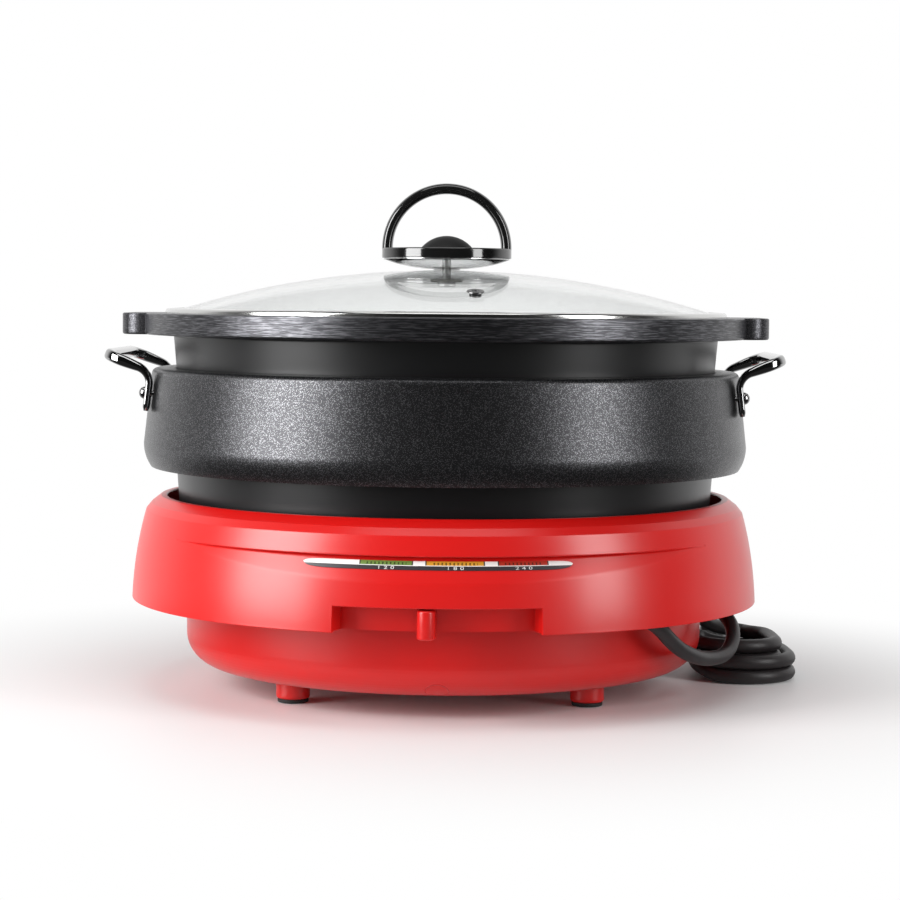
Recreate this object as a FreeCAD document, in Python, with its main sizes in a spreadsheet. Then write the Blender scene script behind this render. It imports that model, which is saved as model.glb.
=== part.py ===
import FreeCAD, Part
import math
import os

import Sketcher

# Electric hot pot: a red base with a heating element and a lever thermostat, a deep pot with ring
# handles, a grill plate with two ears that stands in the pot, and a loose glass lid.
# Millimetres. The origin is on the floor at the pots' common axis, +Z up, front is -Y, right is +X.
# A cylinder's or a profile's heights are heights above the floor.

SIZES = [
    # base: feet and bowl
    ("foot_radius", 9.0),
    ("foot_offset", 78.0),
    ("foot_pad_height", 2.0),
    ("foot_pad_inset", 0.8),
    ("bowl_bottom", 12.0),
    ("bowl_step", 11.0),
    ("bowl_draft", 1.0),
    ("bowl_corner", 25.0),
    ("bowl_wall", 2.5),
    ("bowl_rim_top", 83.0),
    ("skirt_overlap", 1.8),
    ("bowl_vent_ring", 62.0),
    ("bowl_vent_radius", 3.0),
    # base: guard
    ("guard_lever_rise", 1.1),
    ("guard_flare", 7.5),
    ("shoulder_drop", 4.0),
    ("shoulder_width", 3.1),
    ("guard_crown", 210.0),
    ("guard_wall", 2.6),
    ("lip_height", 4.0),
    ("lip_slope_width", 5.2),
    ("guard_rise", 22.0),
    ("lip_width", 3.4),
    ("pot_side_gap", 7.8),
    ("lip_bevel", 0.8),
    # base: recess with the scale
    ("scoop_axis_back", 10.8),
    ("scoop_drop", 9.7),
    ("scoop_inset", 1.7),
    ("scoop_height", 14.3),
    ("scoop_lean", 7.2),
    ("scoop_margin", 28.0),
    ("scale_sheet", 0.4),
    ("scale_top_gap", 0.8),
    ("scale_height", 5.8),
    ("scale_length", 137.3),
    # base: notch of the lever
    ("notch_head_gap", 1.0),
    ("notch_angle", 35.2),
    ("notch_depth", 13.2),
    ("notch_side_angle", 1.0),
    # lever and thermostat
    ("lever_depth", 16.3),
    ("lever_sheet", 1.2),
    ("lever_width", 10.0),
    ("lever_tip_width", 5.0),
    ("lever_tip_run", 23.0),
    ("knob_nose", 5.7),
    ("lever_rest_angle", -1.8),
    ("lever_hub", 9.0),
    ("lever_clearance", 0.4),
    ("lever_slot_angle", 36.0),
    ("knob_width", 9.0),
    ("knob_back_gap", 1.8),
    ("knob_drop", 1.3),
    ("knob_height", 14.6),
    ("spindle_radius", 3.0),
    ("spindle_head", 5.0),
    ("spindle_rise", 9.3),
    ("running_fit", 0.06),
    ("thermostat_radius", 19.0),
    ("thermostat_height", 11.5),
    ("bracket_sheet", 1.2),
    ("bracket_width", 14.0),
    ("bracket_span", 58.0),
    # heat shield, element and sensor
    ("shield_sheet", 0.8),
    ("shield_depth", 19.0),
    ("shield_lean", 7.0),
    ("shield_gap", 2.5),
    ("shield_hole", 14.0),
    ("element_ring", 88.0),
    ("element_tube", 3.75),
    ("element_gap_angle", 36.0),
    ("element_leg_drop", 18.0),
    ("bush_radius", 7.0),
    ("bush_height", 9.0),
    ("support_width", 10.0),
    ("support_sheet", 1.5),
    ("seat_gap", 0.3),
    ("sensor_radius", 17.0),
    ("sensor_height", 12.0),
    ("sensor_wall", 1.2),
    ("guide_wall", 2.0),
    ("guide_flange", 25.0),
    ("guide_base", 1.5),
    ("guide_height", 12.0),
    ("spring_radius", 11.0),
    ("spring_wire", 0.8),
    ("spring_turns", 4.0),
    # wiring pieces in the bowl
    ("terminal_length", 36.0),
    ("terminal_width", 20.0),
    ("terminal_height", 14.0),
    ("terminal_back", 70.0),
    ("fuse_radius", 3.0),
    ("fuse_length", 26.0),
    ("fuse_x", 52.0),
    ("wire_radius", 1.5),
    ("wire_bend", 10.0),
    # case screws
    ("screw_inset", 2.8),
    ("screw_radius", 1.7),
    ("screw_head_radius", 3.2),
    ("screw_head_height", 2.2),
    ("screw_hole", 1.9),
    ("boss_radius", 3.6),
    ("boss_height", 11.0),
    # deep pot
    ("pot_stand", 0.5),
    ("pot_base_thickness", 4.0),
    ("pot_wall", 3.0),
    ("pot_corner_radius", 12.2),
    ("pot_low_radius", 146.2),
    ("pot_draft", 6.4),
    ("pot_mouth_draft", 0.3),
    ("pot_collar", 4.0),
    ("pot_collar_step", 0.4),
    ("pot_height", 90.7),
    # guard ring of the pot
    ("ring_sheet", 2.0),
    ("ring_shoulder", 9.4),
    ("ring_top_corner", 3.5),
    ("ring_flare", 4.6),
    ("ring_foot_height", 11.8),
    ("ring_height", 53.8),
    ("ring_foot_tuck", 3.8),
    ("ring_foot_width", 6.2),
    ("ring_foot_bend", 22.0),
    # ring handles
    ("handle_half_gap", 47.0),
    ("handle_arm_width", 9.0),
    ("handle_seat_gap", 0.05),
    ("handle_leg", 14.7),
    ("handle_drop", 8.0),
    ("handle_bend", 63.0),
    ("handle_bend_radius", 8.0),
    ("handle_thickness", 3.6),
    ("handle_reach", 22.1),
    ("handle_ear_gap", 11.1),
    ("handle_bar_radius", 3.1),
    ("rivet_radius", 2.0),
    ("rivet_head_radius", 3.8),
    ("rivet_head_height", 4.0),
    ("rivet_drop", 5.0),
    # grill plate
    ("plate_drop", 15.0),
    ("plate_base_thickness", 4.0),
    ("plate_low_draft", 1.6),
    ("plate_corner_rise", 0.8),
    ("plate_corner", 9.6),
    ("plate_fit", 0.7),
    ("plate_draft", 1.6),
    ("plate_wall", 3.2),
    ("flange_stand", 18.3),
    ("flange_thickness", 11.7),
    ("flange_land", 10.2),
    ("ear_length", 10.4),
    ("ear_half_width", 36.0),
    ("ear_corner", 12.0),
    ("lid_seat_width", 5.5),
    # lid
    ("glass_thickness", 4.0),
    ("glass_inset", 2.0),
    ("glass_rise", 24.6),
    ("lid_sink", 4.4),
    ("rim_sheet", 0.8),
    ("lid_side_gap", 0.9),
    ("rim_lip", 4.0),
    ("rim_slope", 1.25),
    ("rim_glass_gap", 0.1),
    ("vent_x", 17.0),
    ("vent_inset", 45.4),
    ("vent_hole", 3.2),
    ("vent_bore", 1.9),
    ("vent_flange", 4.7),
    ("vent_sheet", 0.8),
    # lid knob
    ("disc_radius", 36.0),
    ("disc_foot_radius", 17.0),
    ("disc_rise", 6.4),
    ("disc_rim_height", 4.6),
    ("disc_bevel", 1.0),
    ("disc_foot_gap", 0.2),
    ("arch_band", 6.0),
    ("arch_width", 13.0),
    ("arch_round", 2.2),
    ("dome_radius", 14.5),
    ("dome_height", 7.0),
    ("lid_screw_radius", 2.4),
    ("lid_screw_head", 5.0),
    ("lid_screw_head_height", 3.0),
    ("lid_screw_cover", 3.0),
    ("washer_radius", 9.0),
    ("washer_sheet", 1.4),
    # mains cord
    ("cord_radius", 4.0),
    ("cord_boss_start", 20.0),
    ("cord_boss_angle", 8.0),
    ("cord_boss_depth", 29.0),
    ("cord_boss_height", 18.0),
    ("cord_boss_width", 22.5),
    ("cord_offset", 11.0),
    ("gland_drop_angle", 16.0),
    ("relief_length", 26.0),
    ("relief_root_radius", 7.0),
    ("relief_tip_radius", 5.2),
    ("spigot_radius", 5.0),
    ("spigot_length", 5.0),
    ("coil_x", 170.0),
    ("coil_front_y", 26.0),
    ("coil_back_y", 47.0),
    ("coil_outer", 31.0),
    ("coil_inner", 15.0),
    ("coil_height", 24.0),
    ("plug_length", 34.0),
    ("plug_width", 15.0),
    ("plug_height", 24.0),
    ("plug_relief", 13.0),
    ("plug_tilt", 20.0),
    ("blade_length", 16.0),
    ("blade_width", 6.3),
    ("blade_sheet", 1.5),
    ("blade_gap", 12.7),
]

# Sizes that follow from those above: each is a formula in the same sheet.
FOLLOWING = [
    # radii, from the pot's wall inwards and outwards
    ("pot_high_radius", "pot_low_radius + pot_draft"),
    ("pot_floor_radius", "pot_low_radius - pot_corner_radius"),
    ("pot_collar_radius", "pot_high_radius + pot_collar_step"),
    ("ring_top_radius", "pot_collar_radius + ring_shoulder"),
    ("ring_low_radius", "ring_top_radius + ring_flare"),
    ("ring_foot_radius", "ring_low_radius - ring_foot_tuck"),
    ("ring_foot_inner", "ring_foot_radius - ring_foot_width"),
    ("handle_tip", "ring_top_radius + handle_reach"),
    ("plate_mouth_radius", "pot_high_radius - pot_wall + pot_mouth_draft - plate_fit"),
    ("plate_neck_radius", "plate_mouth_radius + plate_draft"),
    ("plate_low_radius", "plate_mouth_radius - plate_low_draft"),
    ("plate_floor_radius", "plate_low_radius - plate_corner"),
    ("recess_radius", "plate_neck_radius + lid_seat_width"),
    ("flange_radius", "recess_radius + flange_land"),
    ("ear_reach", "flange_radius + ear_length"),
    ("rim_radius", "recess_radius - lid_side_gap"),
    ("glass_radius", "rim_radius - glass_inset"),
    ("vent_front", "glass_radius - vent_inset"),
    ("lip_inner_radius", "pot_low_radius + pot_side_gap"),
    ("lip_radius", "lip_inner_radius + lip_width"),
    ("crease_radius", "lip_radius + lip_slope_width"),
    ("guard_shoulder_radius", "crease_radius + shoulder_width"),
    ("guard_bottom_radius", "guard_shoulder_radius + guard_flare"),
    ("scoop_top_radius", "guard_shoulder_radius + scoop_axis_back - scoop_inset"),
    ("scoop_foot_radius", "scoop_top_radius + scoop_lean"),
    ("scoop_reach", "scoop_foot_radius + scoop_margin"),
    ("scale_angle", "scale_length / scoop_top_radius * 180 / pi"),
    ("notch_back_radius", "guard_bottom_radius - notch_depth"),
    ("knob_back_radius", "notch_back_radius + knob_back_gap"),
    ("lever_reach", "guard_bottom_radius - knob_nose"),
    ("bowl_radius", "lip_inner_radius - bowl_step"),
    ("bowl_top_radius", "bowl_radius + bowl_draft"),
    ("bowl_rim_radius", "lip_inner_radius + skirt_overlap"),
    ("screw_circle_offset", "(lip_inner_radius - screw_inset) * sqrt(0.5)"),
    ("shield_wall_radius", "bowl_top_radius - bowl_wall - shield_gap"),
    ("shield_floor_radius", "shield_wall_radius - shield_lean"),
    ("lever_taper_start", "bowl_radius - lever_tip_run"),
    ("cord_circle", "bowl_radius + cord_offset"),
    ("cord_boss_reach", "bowl_radius + cord_boss_width"),
    # heights, from the bowl's rim down and up
    ("shield_floor", "bowl_rim_top - shield_depth"),
    ("element_leg_bottom", "shield_floor - element_leg_drop"),
    ("lever_bottom", "shield_floor - lever_depth"),
    ("spindle_top", "lever_bottom + spindle_rise"),
    ("knob_bottom", "lever_bottom - knob_drop"),
    ("knob_top", "knob_bottom + knob_height"),
    ("notch_top", "knob_top + notch_head_gap"),
    ("guard_bottom", "lever_bottom + guard_lever_rise"),
    ("lip_top", "bowl_rim_top + guard_rise"),
    ("crease", "lip_top - lip_height"),
    ("guard_shoulder", "crease - shoulder_drop"),
    ("scoop_top", "guard_shoulder - scoop_drop"),
    ("scoop_foot", "scoop_top - scoop_height"),
    ("cord_boss_bottom", "bowl_rim_top - cord_boss_depth"),
    ("cord_boss_top", "cord_boss_bottom + cord_boss_height"),
    ("gland_height", "cord_boss_bottom + cord_boss_height / 2"),
    ("pot_floor", "bowl_rim_top + shield_sheet + pot_stand"),
    ("pot_rim", "pot_floor + pot_height"),
    ("ring_bottom", "pot_rim - ring_height"),
    ("ring_bend", "ring_bottom + ring_foot_height"),
    ("handle_elbow", "pot_rim - handle_drop"),
    ("handle_leg_bottom", "handle_elbow - handle_leg"),
    ("rivet_height", "handle_elbow - rivet_drop"),
    ("plate_bottom", "pot_rim - plate_drop"),
    ("flange_bottom", "pot_rim + flange_stand"),
    ("flange_top", "flange_bottom + flange_thickness"),
    ("handle_tip_height", "flange_bottom - handle_ear_gap"),
    ("glass_top", "flange_top - lid_sink + rim_sheet + glass_thickness + glass_rise"),
    ("disc_rim_low", "glass_top + disc_rise"),
    ("disc_rim_top", "disc_rim_low + disc_rim_height"),
    ("disc_top", "disc_rim_top + disc_bevel"),
    ("lid_screw_top", "disc_top - lid_screw_cover"),
]

doc = FreeCAD.newDocument("hot_pot")
sheet = doc.addObject("Spreadsheet::Sheet", "Sizes")
formulas = [(alias, "=" + formula) for alias, formula in FOLLOWING]
for row, (alias, value) in enumerate(SIZES + formulas, start=1):
    sheet.set(f"A{row}", alias)
    sheet.set(f"B{row}", str(value))
    sheet.setAlias(f"B{row}", alias)
doc.recompute()


class Size:
    """A length or an angle with its number and the expression that binds a property to it."""

    def __init__(self, number, text):
        self.number = number
        self.text = text

    def __add__(self, other):
        other = as_size(other)
        return Size(self.number + other.number, f"({self.text} + {other.text})")

    def __sub__(self, other):
        other = as_size(other)
        return Size(self.number - other.number, f"({self.text} - {other.text})")

    def __mul__(self, other):
        other = as_size(other)
        return Size(self.number * other.number, f"({self.text} * {other.text})")

    def __truediv__(self, other):
        other = as_size(other)
        return Size(self.number / other.number, f"({self.text} / {other.text})")

    def __neg__(self):
        return Size(-self.number, f"(0 - {self.text})")


def as_size(value):
    """A plain number as a Size; a Size stays as it is."""
    if isinstance(value, Size):
        return value
    return Size(float(value), repr(float(value)))


def sine(angle):
    return Size(math.sin(math.radians(angle.number)), f"sin(1deg * {angle.text})")


def cosine(angle):
    return Size(math.cos(math.radians(angle.number)), f"cos(1deg * {angle.text})")


def chord_depth(radius, across):
    """How far a circle's point lies along one axis when it lies across on the other."""
    square = radius * radius - across * across
    return Size(math.sqrt(square.number), f"sqrt({square.text})")


class SheetSizes:
    """Each alias of the sheet as a Size."""

    def __getattr__(self, alias):
        return Size(float(sheet.get(alias)), f"Sizes.{alias}")


d = SheetSizes()


def bind(target, path, value):
    """Binds a property to a size and sets it to its number at once."""
    target.setExpression(path, as_size(value).text)


# --- sketches and bodies ---------------------------------------------------------------------


def new_body(label):
    body = doc.addObject("PartDesign::Body", label)
    body.Label = label
    return body


def origin_plane(body, role):
    for feature in body.Origin.OriginFeatures:
        if feature.Role == role:
            return feature
    raise ValueError(role)


def new_sketch(body, role, offset=None):
    """A sketch on an origin plane of its body; offset moves it along the plane's normal."""
    sketch = body.newObject("Sketcher::SketchObject", body.Name + "_sketch")
    sketch.AttachmentSupport = [(origin_plane(body, role), "")]
    sketch.MapMode = "FlatFace"
    if offset is not None:
        bind(sketch, "AttachmentOffset.Base.z", offset)
    return sketch


def constrain(sketch, kind, items, value):
    """Adds a dimension constraint and binds it to a size."""
    index = sketch.addConstraint(Sketcher.Constraint(kind, *items, value.number))
    sketch.setExpression(f"Constraints[{index}]", value.text)


def hold_point(sketch, geometry, end, x, y):
    """Ties a point to its distances from the sketch's origin."""
    for kind, value, axis in (("DistanceX", x, -2), ("DistanceY", y, -1)):
        value = as_size(value)
        if value.number == 0:
            sketch.addConstraint(Sketcher.Constraint("PointOnObject", geometry, end, axis))
        else:
            constrain(sketch, kind, (-1, 1, geometry, end), value)


def arc_between(start, end, radius):
    """The arc from start to end; a positive radius keeps its centre on the left of the way."""
    middle = (start + end) * 0.5
    way = end - start
    left = FreeCAD.Vector(-way.y, way.x, 0).normalize()
    reach = math.sqrt(max(radius * radius - way.Length * way.Length / 4, 0.0))
    centre = middle + left * math.copysign(reach, radius)
    angles = [math.atan2(p.y - centre.y, p.x - centre.x) for p in (start, end)]
    if radius < 0:
        angles.reverse()
    circle = Part.Circle(centre, FreeCAD.Vector(0, 0, 1), abs(radius))
    return Part.ArcOfCircle(circle, angles[0], angles[1])


HALF = "half"


def draw_outline(sketch, corners):
    """A closed outline. A corner is (x, y) or (x, y, radius), where radius bends the way to the
    next corner: positive turns left, negative turns right, and HALF is half a circle to the left."""
    points = [FreeCAD.Vector(as_size(c[0]).number, as_size(c[1]).number, 0) for c in corners]
    pieces = []
    for i, corner in enumerate(corners):
        start, end = points[i], points[(i + 1) % len(points)]
        if len(corner) == 2:
            pieces.append((sketch.addGeometry(Part.LineSegment(start, end), False), 1, 2))
            continue
        radius = (end - start).Length / 2 if corner[2] == HALF else as_size(corner[2]).number
        index = sketch.addGeometry(arc_between(start, end, radius), False)
        pieces.append((index, 1, 2) if radius > 0 else (index, 2, 1))
    for i, (geometry, _, end) in enumerate(pieces):
        following, start, _ = pieces[(i + 1) % len(pieces)]
        sketch.addConstraint(Sketcher.Constraint("Coincident", geometry, end, following, start))
    for (geometry, start, _), corner in zip(pieces, corners):
        hold_point(sketch, geometry, start, corner[0], corner[1])
        if len(corner) == 3 and corner[2] == HALF:
            sketch.addConstraint(Sketcher.Constraint("Symmetric", geometry, 1, geometry, 2, geometry, 3))
        elif len(corner) == 3:
            radius = as_size(corner[2])
            length = radius if radius.number > 0 else -radius
            constrain(sketch, "Radius", (geometry,), length)


def draw_circles(sketch, centres, radius):
    """Circles of one radius; each centre is (x, y)."""
    for x, y in centres:
        centre = FreeCAD.Vector(as_size(x).number, as_size(y).number, 0)
        circle = Part.Circle(centre, FreeCAD.Vector(0, 0, 1), radius.number)
        index = sketch.addGeometry(circle, False)
        hold_point(sketch, index, 3, x, y)
        constrain(sketch, "Radius", (index,), radius)


def turn(body, kind, corners, angle=None, role="XZ_Plane", axis_at=None):
    """Turns an outline about the upright axis, whole or over an angle centred on its plane. An
    axis elsewhere is a helper line at axis_at, as long as that distance."""
    sketch = new_sketch(body, role)
    draw_outline(sketch, corners)
    axis = "V_Axis"
    if axis_at is not None:
        foot = FreeCAD.Vector(axis_at.number, 0, 0)
        head = FreeCAD.Vector(axis_at.number, axis_at.number, 0)
        line = sketch.addGeometry(Part.LineSegment(foot, head), True)
        sketch.addConstraint(Sketcher.Constraint("Vertical", line))
        hold_point(sketch, line, 1, axis_at, 0)
        constrain(sketch, "DistanceY", (line, 1, line, 2), axis_at)
        axis = "Axis0"
    feature = body.newObject("PartDesign::" + kind, body.Name + "_turn")
    feature.Profile = sketch
    feature.ReferenceAxis = (sketch, [axis])
    if angle is not None:
        bind(feature, "Angle", angle)
        feature.Midplane = True
    return feature


def raise_outline(body, kind, draw, bottom, top):
    """Pads or pockets what draw puts into a level sketch, between two heights."""
    sketch = new_sketch(body, "XY_Plane", bottom)
    draw(sketch)
    feature = body.newObject("PartDesign::" + kind, body.Name + "_raise")
    feature.Profile = sketch
    bind(feature, "Length", top - bottom)
    if kind == "Pocket":
        feature.Reversed = True
    return feature


def turned_part(label, corners):
    """A sub-part that is one outline turned about the upright axis."""
    body = new_body(label)
    turn(body, "Revolution", corners)
    return body


# --- primitives and groups ---------------------------------------------------------------------

QUARTER_TURN = 90.0


def place(shape, x=0, y=0, z=0):
    for axis, value in zip("xyz", (x, y, z)):
        bind(shape, f"Placement.Base.{axis}", value)
    return shape


def swing(shape, angle):
    """Turns a shape about the upright axis."""
    shape.Placement.Rotation = FreeCAD.Rotation(0, 0, 0)
    bind(shape, "Placement.Rotation.Angle", angle)
    shape.Placement.Rotation.Axis = FreeCAD.Vector(0, 0, 1)
    return shape


def cylinder(label, radius, height, x=0, y=0, z=0):
    shape = doc.addObject("Part::Cylinder", label)
    bind(shape, "Radius", radius)
    bind(shape, "Height", height)
    return place(shape, x, y, z)


def box(label, length, width, height, x, y, z):
    """A box whose x and y are its middle and whose z is its bottom."""
    shape = doc.addObject("Part::Box", label)
    bind(shape, "Length", length)
    bind(shape, "Width", width)
    bind(shape, "Height", height)
    return place(shape, as_size(x) - as_size(length) / 2, as_size(y) - as_size(width) / 2, z)


def fuse(label, shapes):
    result = doc.addObject("Part::MultiFuse", label)
    result.Shapes = shapes
    return result


def cut(label, base, tool):
    result = doc.addObject("Part::Cut", label)
    result.Base = base
    result.Tool = tool
    return result


def group(label, shapes):
    """Separate solids kept together as one sub-part."""
    result = doc.addObject("Part::Compound", label)
    result.Links = shapes
    return result


def stand(label, shape, placement):
    """A sub-part from a ready shape, with its place set after the shape."""
    feature = doc.addObject("Part::Feature", label)
    feature.Shape = shape
    feature.Placement = placement
    return feature


def four_corners(offset):
    return [(offset, offset), (-offset, offset), (-offset, -offset), (offset, -offset)]


def disc_profile(x0, x1, z0, z1):
    """A rectangle from radius x0 to x1 and height z0 to z1."""
    return [(x0, z0), (x1, z0), (x1, z1), (x0, z1)]


# --- base --------------------------------------------------------------------------------------


def make_lower_bowl():
    """Tub with a rounded bottom corner, an outward rim, four feet and the lever's slot."""
    body = new_body("bowl_shell")
    corner_start = d.bowl_radius - d.bowl_corner
    corner_end = d.bowl_bottom + d.bowl_corner
    inner_corner = d.bowl_corner - d.bowl_wall
    turn(body, "Revolution", [
        (0, d.bowl_bottom),
        (corner_start, d.bowl_bottom, d.bowl_corner),
        (d.bowl_radius, corner_end),
        (d.bowl_top_radius, d.bowl_rim_top - d.bowl_wall),
        (d.bowl_rim_radius, d.bowl_rim_top - d.bowl_wall),
        (d.bowl_rim_radius, d.bowl_rim_top),
        (d.bowl_top_radius - d.bowl_wall, d.bowl_rim_top),
        (d.bowl_radius - d.bowl_wall, corner_end, -inner_corner),
        (corner_start, d.bowl_bottom + d.bowl_wall),
        (0, d.bowl_bottom + d.bowl_wall),
    ])
    feet = four_corners(d.foot_offset)
    raise_outline(body, "Pad", lambda s: draw_circles(s, feet, d.foot_radius),
                  d.foot_pad_height, d.bowl_bottom + d.bowl_wall / 2)
    slot_bottom = d.lever_bottom - d.lever_clearance
    slot_top = d.lever_bottom + d.lever_sheet + d.lever_clearance
    outward = d.bowl_radius + d.bowl_wall * 3
    inward = d.bowl_radius - d.bowl_wall * 3
    turn(body, "Groove", [(-outward, slot_bottom), (-inward, slot_bottom),
                          (-inward, slot_top), (-outward, slot_top)],
         d.lever_slot_angle, "YZ_Plane")
    screws = four_corners(d.screw_circle_offset)
    raise_outline(body, "Pocket", lambda s: draw_circles(s, screws, d.screw_hole),
                  d.bowl_rim_top - d.bowl_wall * 2, d.bowl_rim_top + d.bowl_wall)
    steps = [math.radians(30 * k) for k in range(12)]
    vents = [(d.bowl_vent_ring * math.cos(a), d.bowl_vent_ring * math.sin(a)) for a in steps]
    vents = [(x if abs(x.number) > 1e-6 else 0, y if abs(y.number) > 1e-6 else 0) for x, y in vents]
    raise_outline(body, "Pocket", lambda s: draw_circles(s, vents, d.bowl_vent_radius),
                  d.bowl_bottom - d.bowl_wall, d.bowl_bottom + d.bowl_wall * 2)
    boss = cut("cord_boss", boss_sector("cord_boss_outer", d.cord_boss_reach),
               boss_sector("cord_boss_inner", d.bowl_radius - d.bowl_wall / 2))
    relief_space = stand("relief_space", relief_shape(), gland_placement())
    return cut("lower_bowl", fuse("bowl_with_boss", [body, boss]), relief_space)


def boss_sector(label, radius):
    """A wedge of a cylinder at the cord's exit."""
    shape = cylinder(label, radius, d.cord_boss_top - d.cord_boss_bottom, z=d.cord_boss_bottom)
    bind(shape, "Angle", d.cord_boss_angle)
    return swing(shape, d.cord_boss_start - QUARTER_TURN)


def make_upper_guard():
    """Overhanging shroud: its outside with the scale's recess and the lever's notch, less the
    space behind its wall, with four bosses for the screws."""
    skirt_bottom = d.bowl_rim_top + d.shield_sheet
    shell = cut("guard_shell", guard_outside(), guard_inside(skirt_bottom))
    corners = four_corners(d.screw_circle_offset)
    bosses = [cylinder("guard_boss", d.boss_radius, d.boss_height, x, y, skirt_bottom)
              for x, y in corners]
    holes = [cylinder("guard_boss_hole", d.screw_radius, d.boss_height, x, y,
                      skirt_bottom - d.guard_wall)
             for x, y in corners]
    return cut("upper_guard", fuse("guard_with_bosses", [shell] + bosses), fuse("guard_holes", holes))


def guard_outside():
    """The guard as if it were solid from its inner skirt to its skin."""
    body = new_body("guard_outside")
    bevel = d.lip_bevel
    turn(body, "Revolution", [
        (d.lip_inner_radius, d.guard_bottom),
        (d.guard_bottom_radius, d.guard_bottom, d.guard_crown),
        (d.guard_shoulder_radius, d.guard_shoulder, d.guard_wall * 1.5),
        (d.crease_radius + bevel, d.crease - bevel / 2),
        (d.crease_radius, d.crease),
        (d.lip_radius, d.lip_top - bevel),
        (d.lip_radius - bevel, d.lip_top),
        (d.lip_inner_radius + bevel, d.lip_top),
        (d.lip_inner_radius, d.lip_top - bevel),
    ])
    cut_scoop(body, as_size(0))
    front = d.guard_bottom_radius + d.guard_wall
    low = d.guard_bottom - d.guard_wall
    turn(body, "Groove", [
        (-d.notch_back_radius, low),
        (-d.notch_back_radius, d.notch_top),
        (-front, d.notch_top),
        (-front, low),
    ], d.notch_angle, "YZ_Plane")
    return body


def guard_inside(skirt_bottom):
    """The space behind the guard's wall, kept a wall away from the recess and the notch."""
    body = new_body("guard_inside")
    wall = d.guard_wall
    low = d.guard_bottom - wall
    inner = d.lip_inner_radius - wall
    skin = d.guard_bottom_radius - wall
    turn(body, "Revolution", [
        (inner, low),
        (skin, low),
        (skin, d.guard_bottom, d.guard_crown),
        (d.guard_shoulder_radius - wall, d.guard_shoulder - wall),
        (d.lip_inner_radius + wall, d.crease - wall),
        (d.lip_inner_radius + wall, skirt_bottom),
        (inner, skirt_bottom),
    ])
    cut_scoop(body, wall)
    back = d.notch_back_radius - wall
    front = d.guard_bottom_radius + wall
    housing_bottom = d.lever_bottom + d.lever_sheet + d.lever_clearance
    turn(body, "Groove", [
        (-back, housing_bottom),
        (-back, d.notch_top + wall),
        (-front, d.notch_top + wall),
        (-front, housing_bottom),
    ], d.notch_angle + d.notch_side_angle * 2, "YZ_Plane")
    return body


def scoop_y(radius):
    """Where a cone about the recess's own axis stands in front of the object."""
    return d.scoop_axis_back - radius


def cut_scoop(body, wall):
    """Cuts away what lies outside the recess's cone, whose axis lies behind the object's."""
    turn(body, "Groove", [
        (scoop_y(d.scoop_top_radius) + wall, d.scoop_top + wall),
        (scoop_y(d.scoop_foot_radius) + wall, d.scoop_foot - wall),
        (scoop_y(d.scoop_reach), d.scoop_foot - wall),
        (scoop_y(d.scoop_reach), d.scoop_top + wall),
    ], None, "YZ_Plane", d.scoop_axis_back)


def make_scale_strip():
    """Printed band on the recess's floor, under its upper edge."""
    body = new_body("scale_strip")
    lean = (d.scoop_foot_radius - d.scoop_top_radius) / (d.scoop_top - d.scoop_foot)
    top = d.scoop_top - d.scale_top_gap
    bottom = top - d.scale_height
    high_y = scoop_y(d.scoop_top_radius + lean * d.scale_top_gap)
    low_y = scoop_y(d.scoop_top_radius + lean * (d.scale_top_gap + d.scale_height))
    turn(body, "Revolution", [
        (high_y, top),
        (low_y, bottom),
        (low_y - d.scale_sheet, bottom),
        (high_y - d.scale_sheet, top),
    ], d.scale_angle, "YZ_Plane", d.scoop_axis_back)
    return body


def make_foot_pads():
    radius = d.foot_radius - d.foot_pad_inset
    pads = [cylinder("foot_pad", radius, d.foot_pad_height, x, y)
            for x, y in four_corners(d.foot_offset)]
    return group("foot_pads", pads)


def make_case_screws():
    """Screws from below through the bowl's rim and the shield into the guard's bosses."""
    seat = d.bowl_rim_top - d.bowl_wall
    tip = d.bowl_rim_top + d.shield_sheet + d.boss_height - d.guard_wall * 1.5
    screws = []
    for x, y in four_corners(d.screw_circle_offset):
        shank = cylinder("screw_shank", d.screw_radius, tip - seat, x, y, seat)
        head = cylinder("screw_head", d.screw_head_radius, d.screw_head_height, x, y,
                        seat - d.screw_head_height)
        screws.append(fuse("case_screw", [shank, head]))
    return group("case_screws", screws)


def make_heat_shield():
    """Steel dish between the bowl's rim and the guard, under the element."""
    body = new_body("heat_shield")
    sheet_top = d.bowl_rim_top + d.shield_sheet
    floor_top = d.shield_floor + d.shield_sheet
    turn(body, "Revolution", [
        (d.shield_hole, d.shield_floor),
        (d.shield_floor_radius, d.shield_floor),
        (d.shield_wall_radius, d.bowl_rim_top),
        (d.bowl_rim_radius, d.bowl_rim_top),
        (d.bowl_rim_radius, sheet_top),
        (d.shield_wall_radius - d.shield_sheet, sheet_top),
        (d.shield_floor_radius - d.shield_sheet, floor_top),
        (d.shield_hole, floor_top),
    ])
    screws = four_corners(d.screw_circle_offset)
    raise_outline(body, "Pocket", lambda s: draw_circles(s, screws, d.screw_hole),
                  d.bowl_rim_top - d.shield_sheet, sheet_top + d.shield_sheet)
    legs = element_legs()
    raise_outline(body, "Pocket", lambda s: draw_circles(s, legs, d.bush_radius - d.shield_sheet),
                  d.shield_floor - d.shield_sheet, floor_top + d.shield_sheet)
    return body


# --- heating element, sensor and thermostat ----------------------------------------------------


def element_centre_height():
    return d.pot_floor - d.seat_gap - d.element_tube


def element_legs():
    """The two places where the element's ends turn down, at the back."""
    side = d.element_ring * sine(d.element_gap_angle / 2)
    back = d.element_ring * cosine(d.element_gap_angle / 2)
    return [(side, back), (-side, back)]


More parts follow.
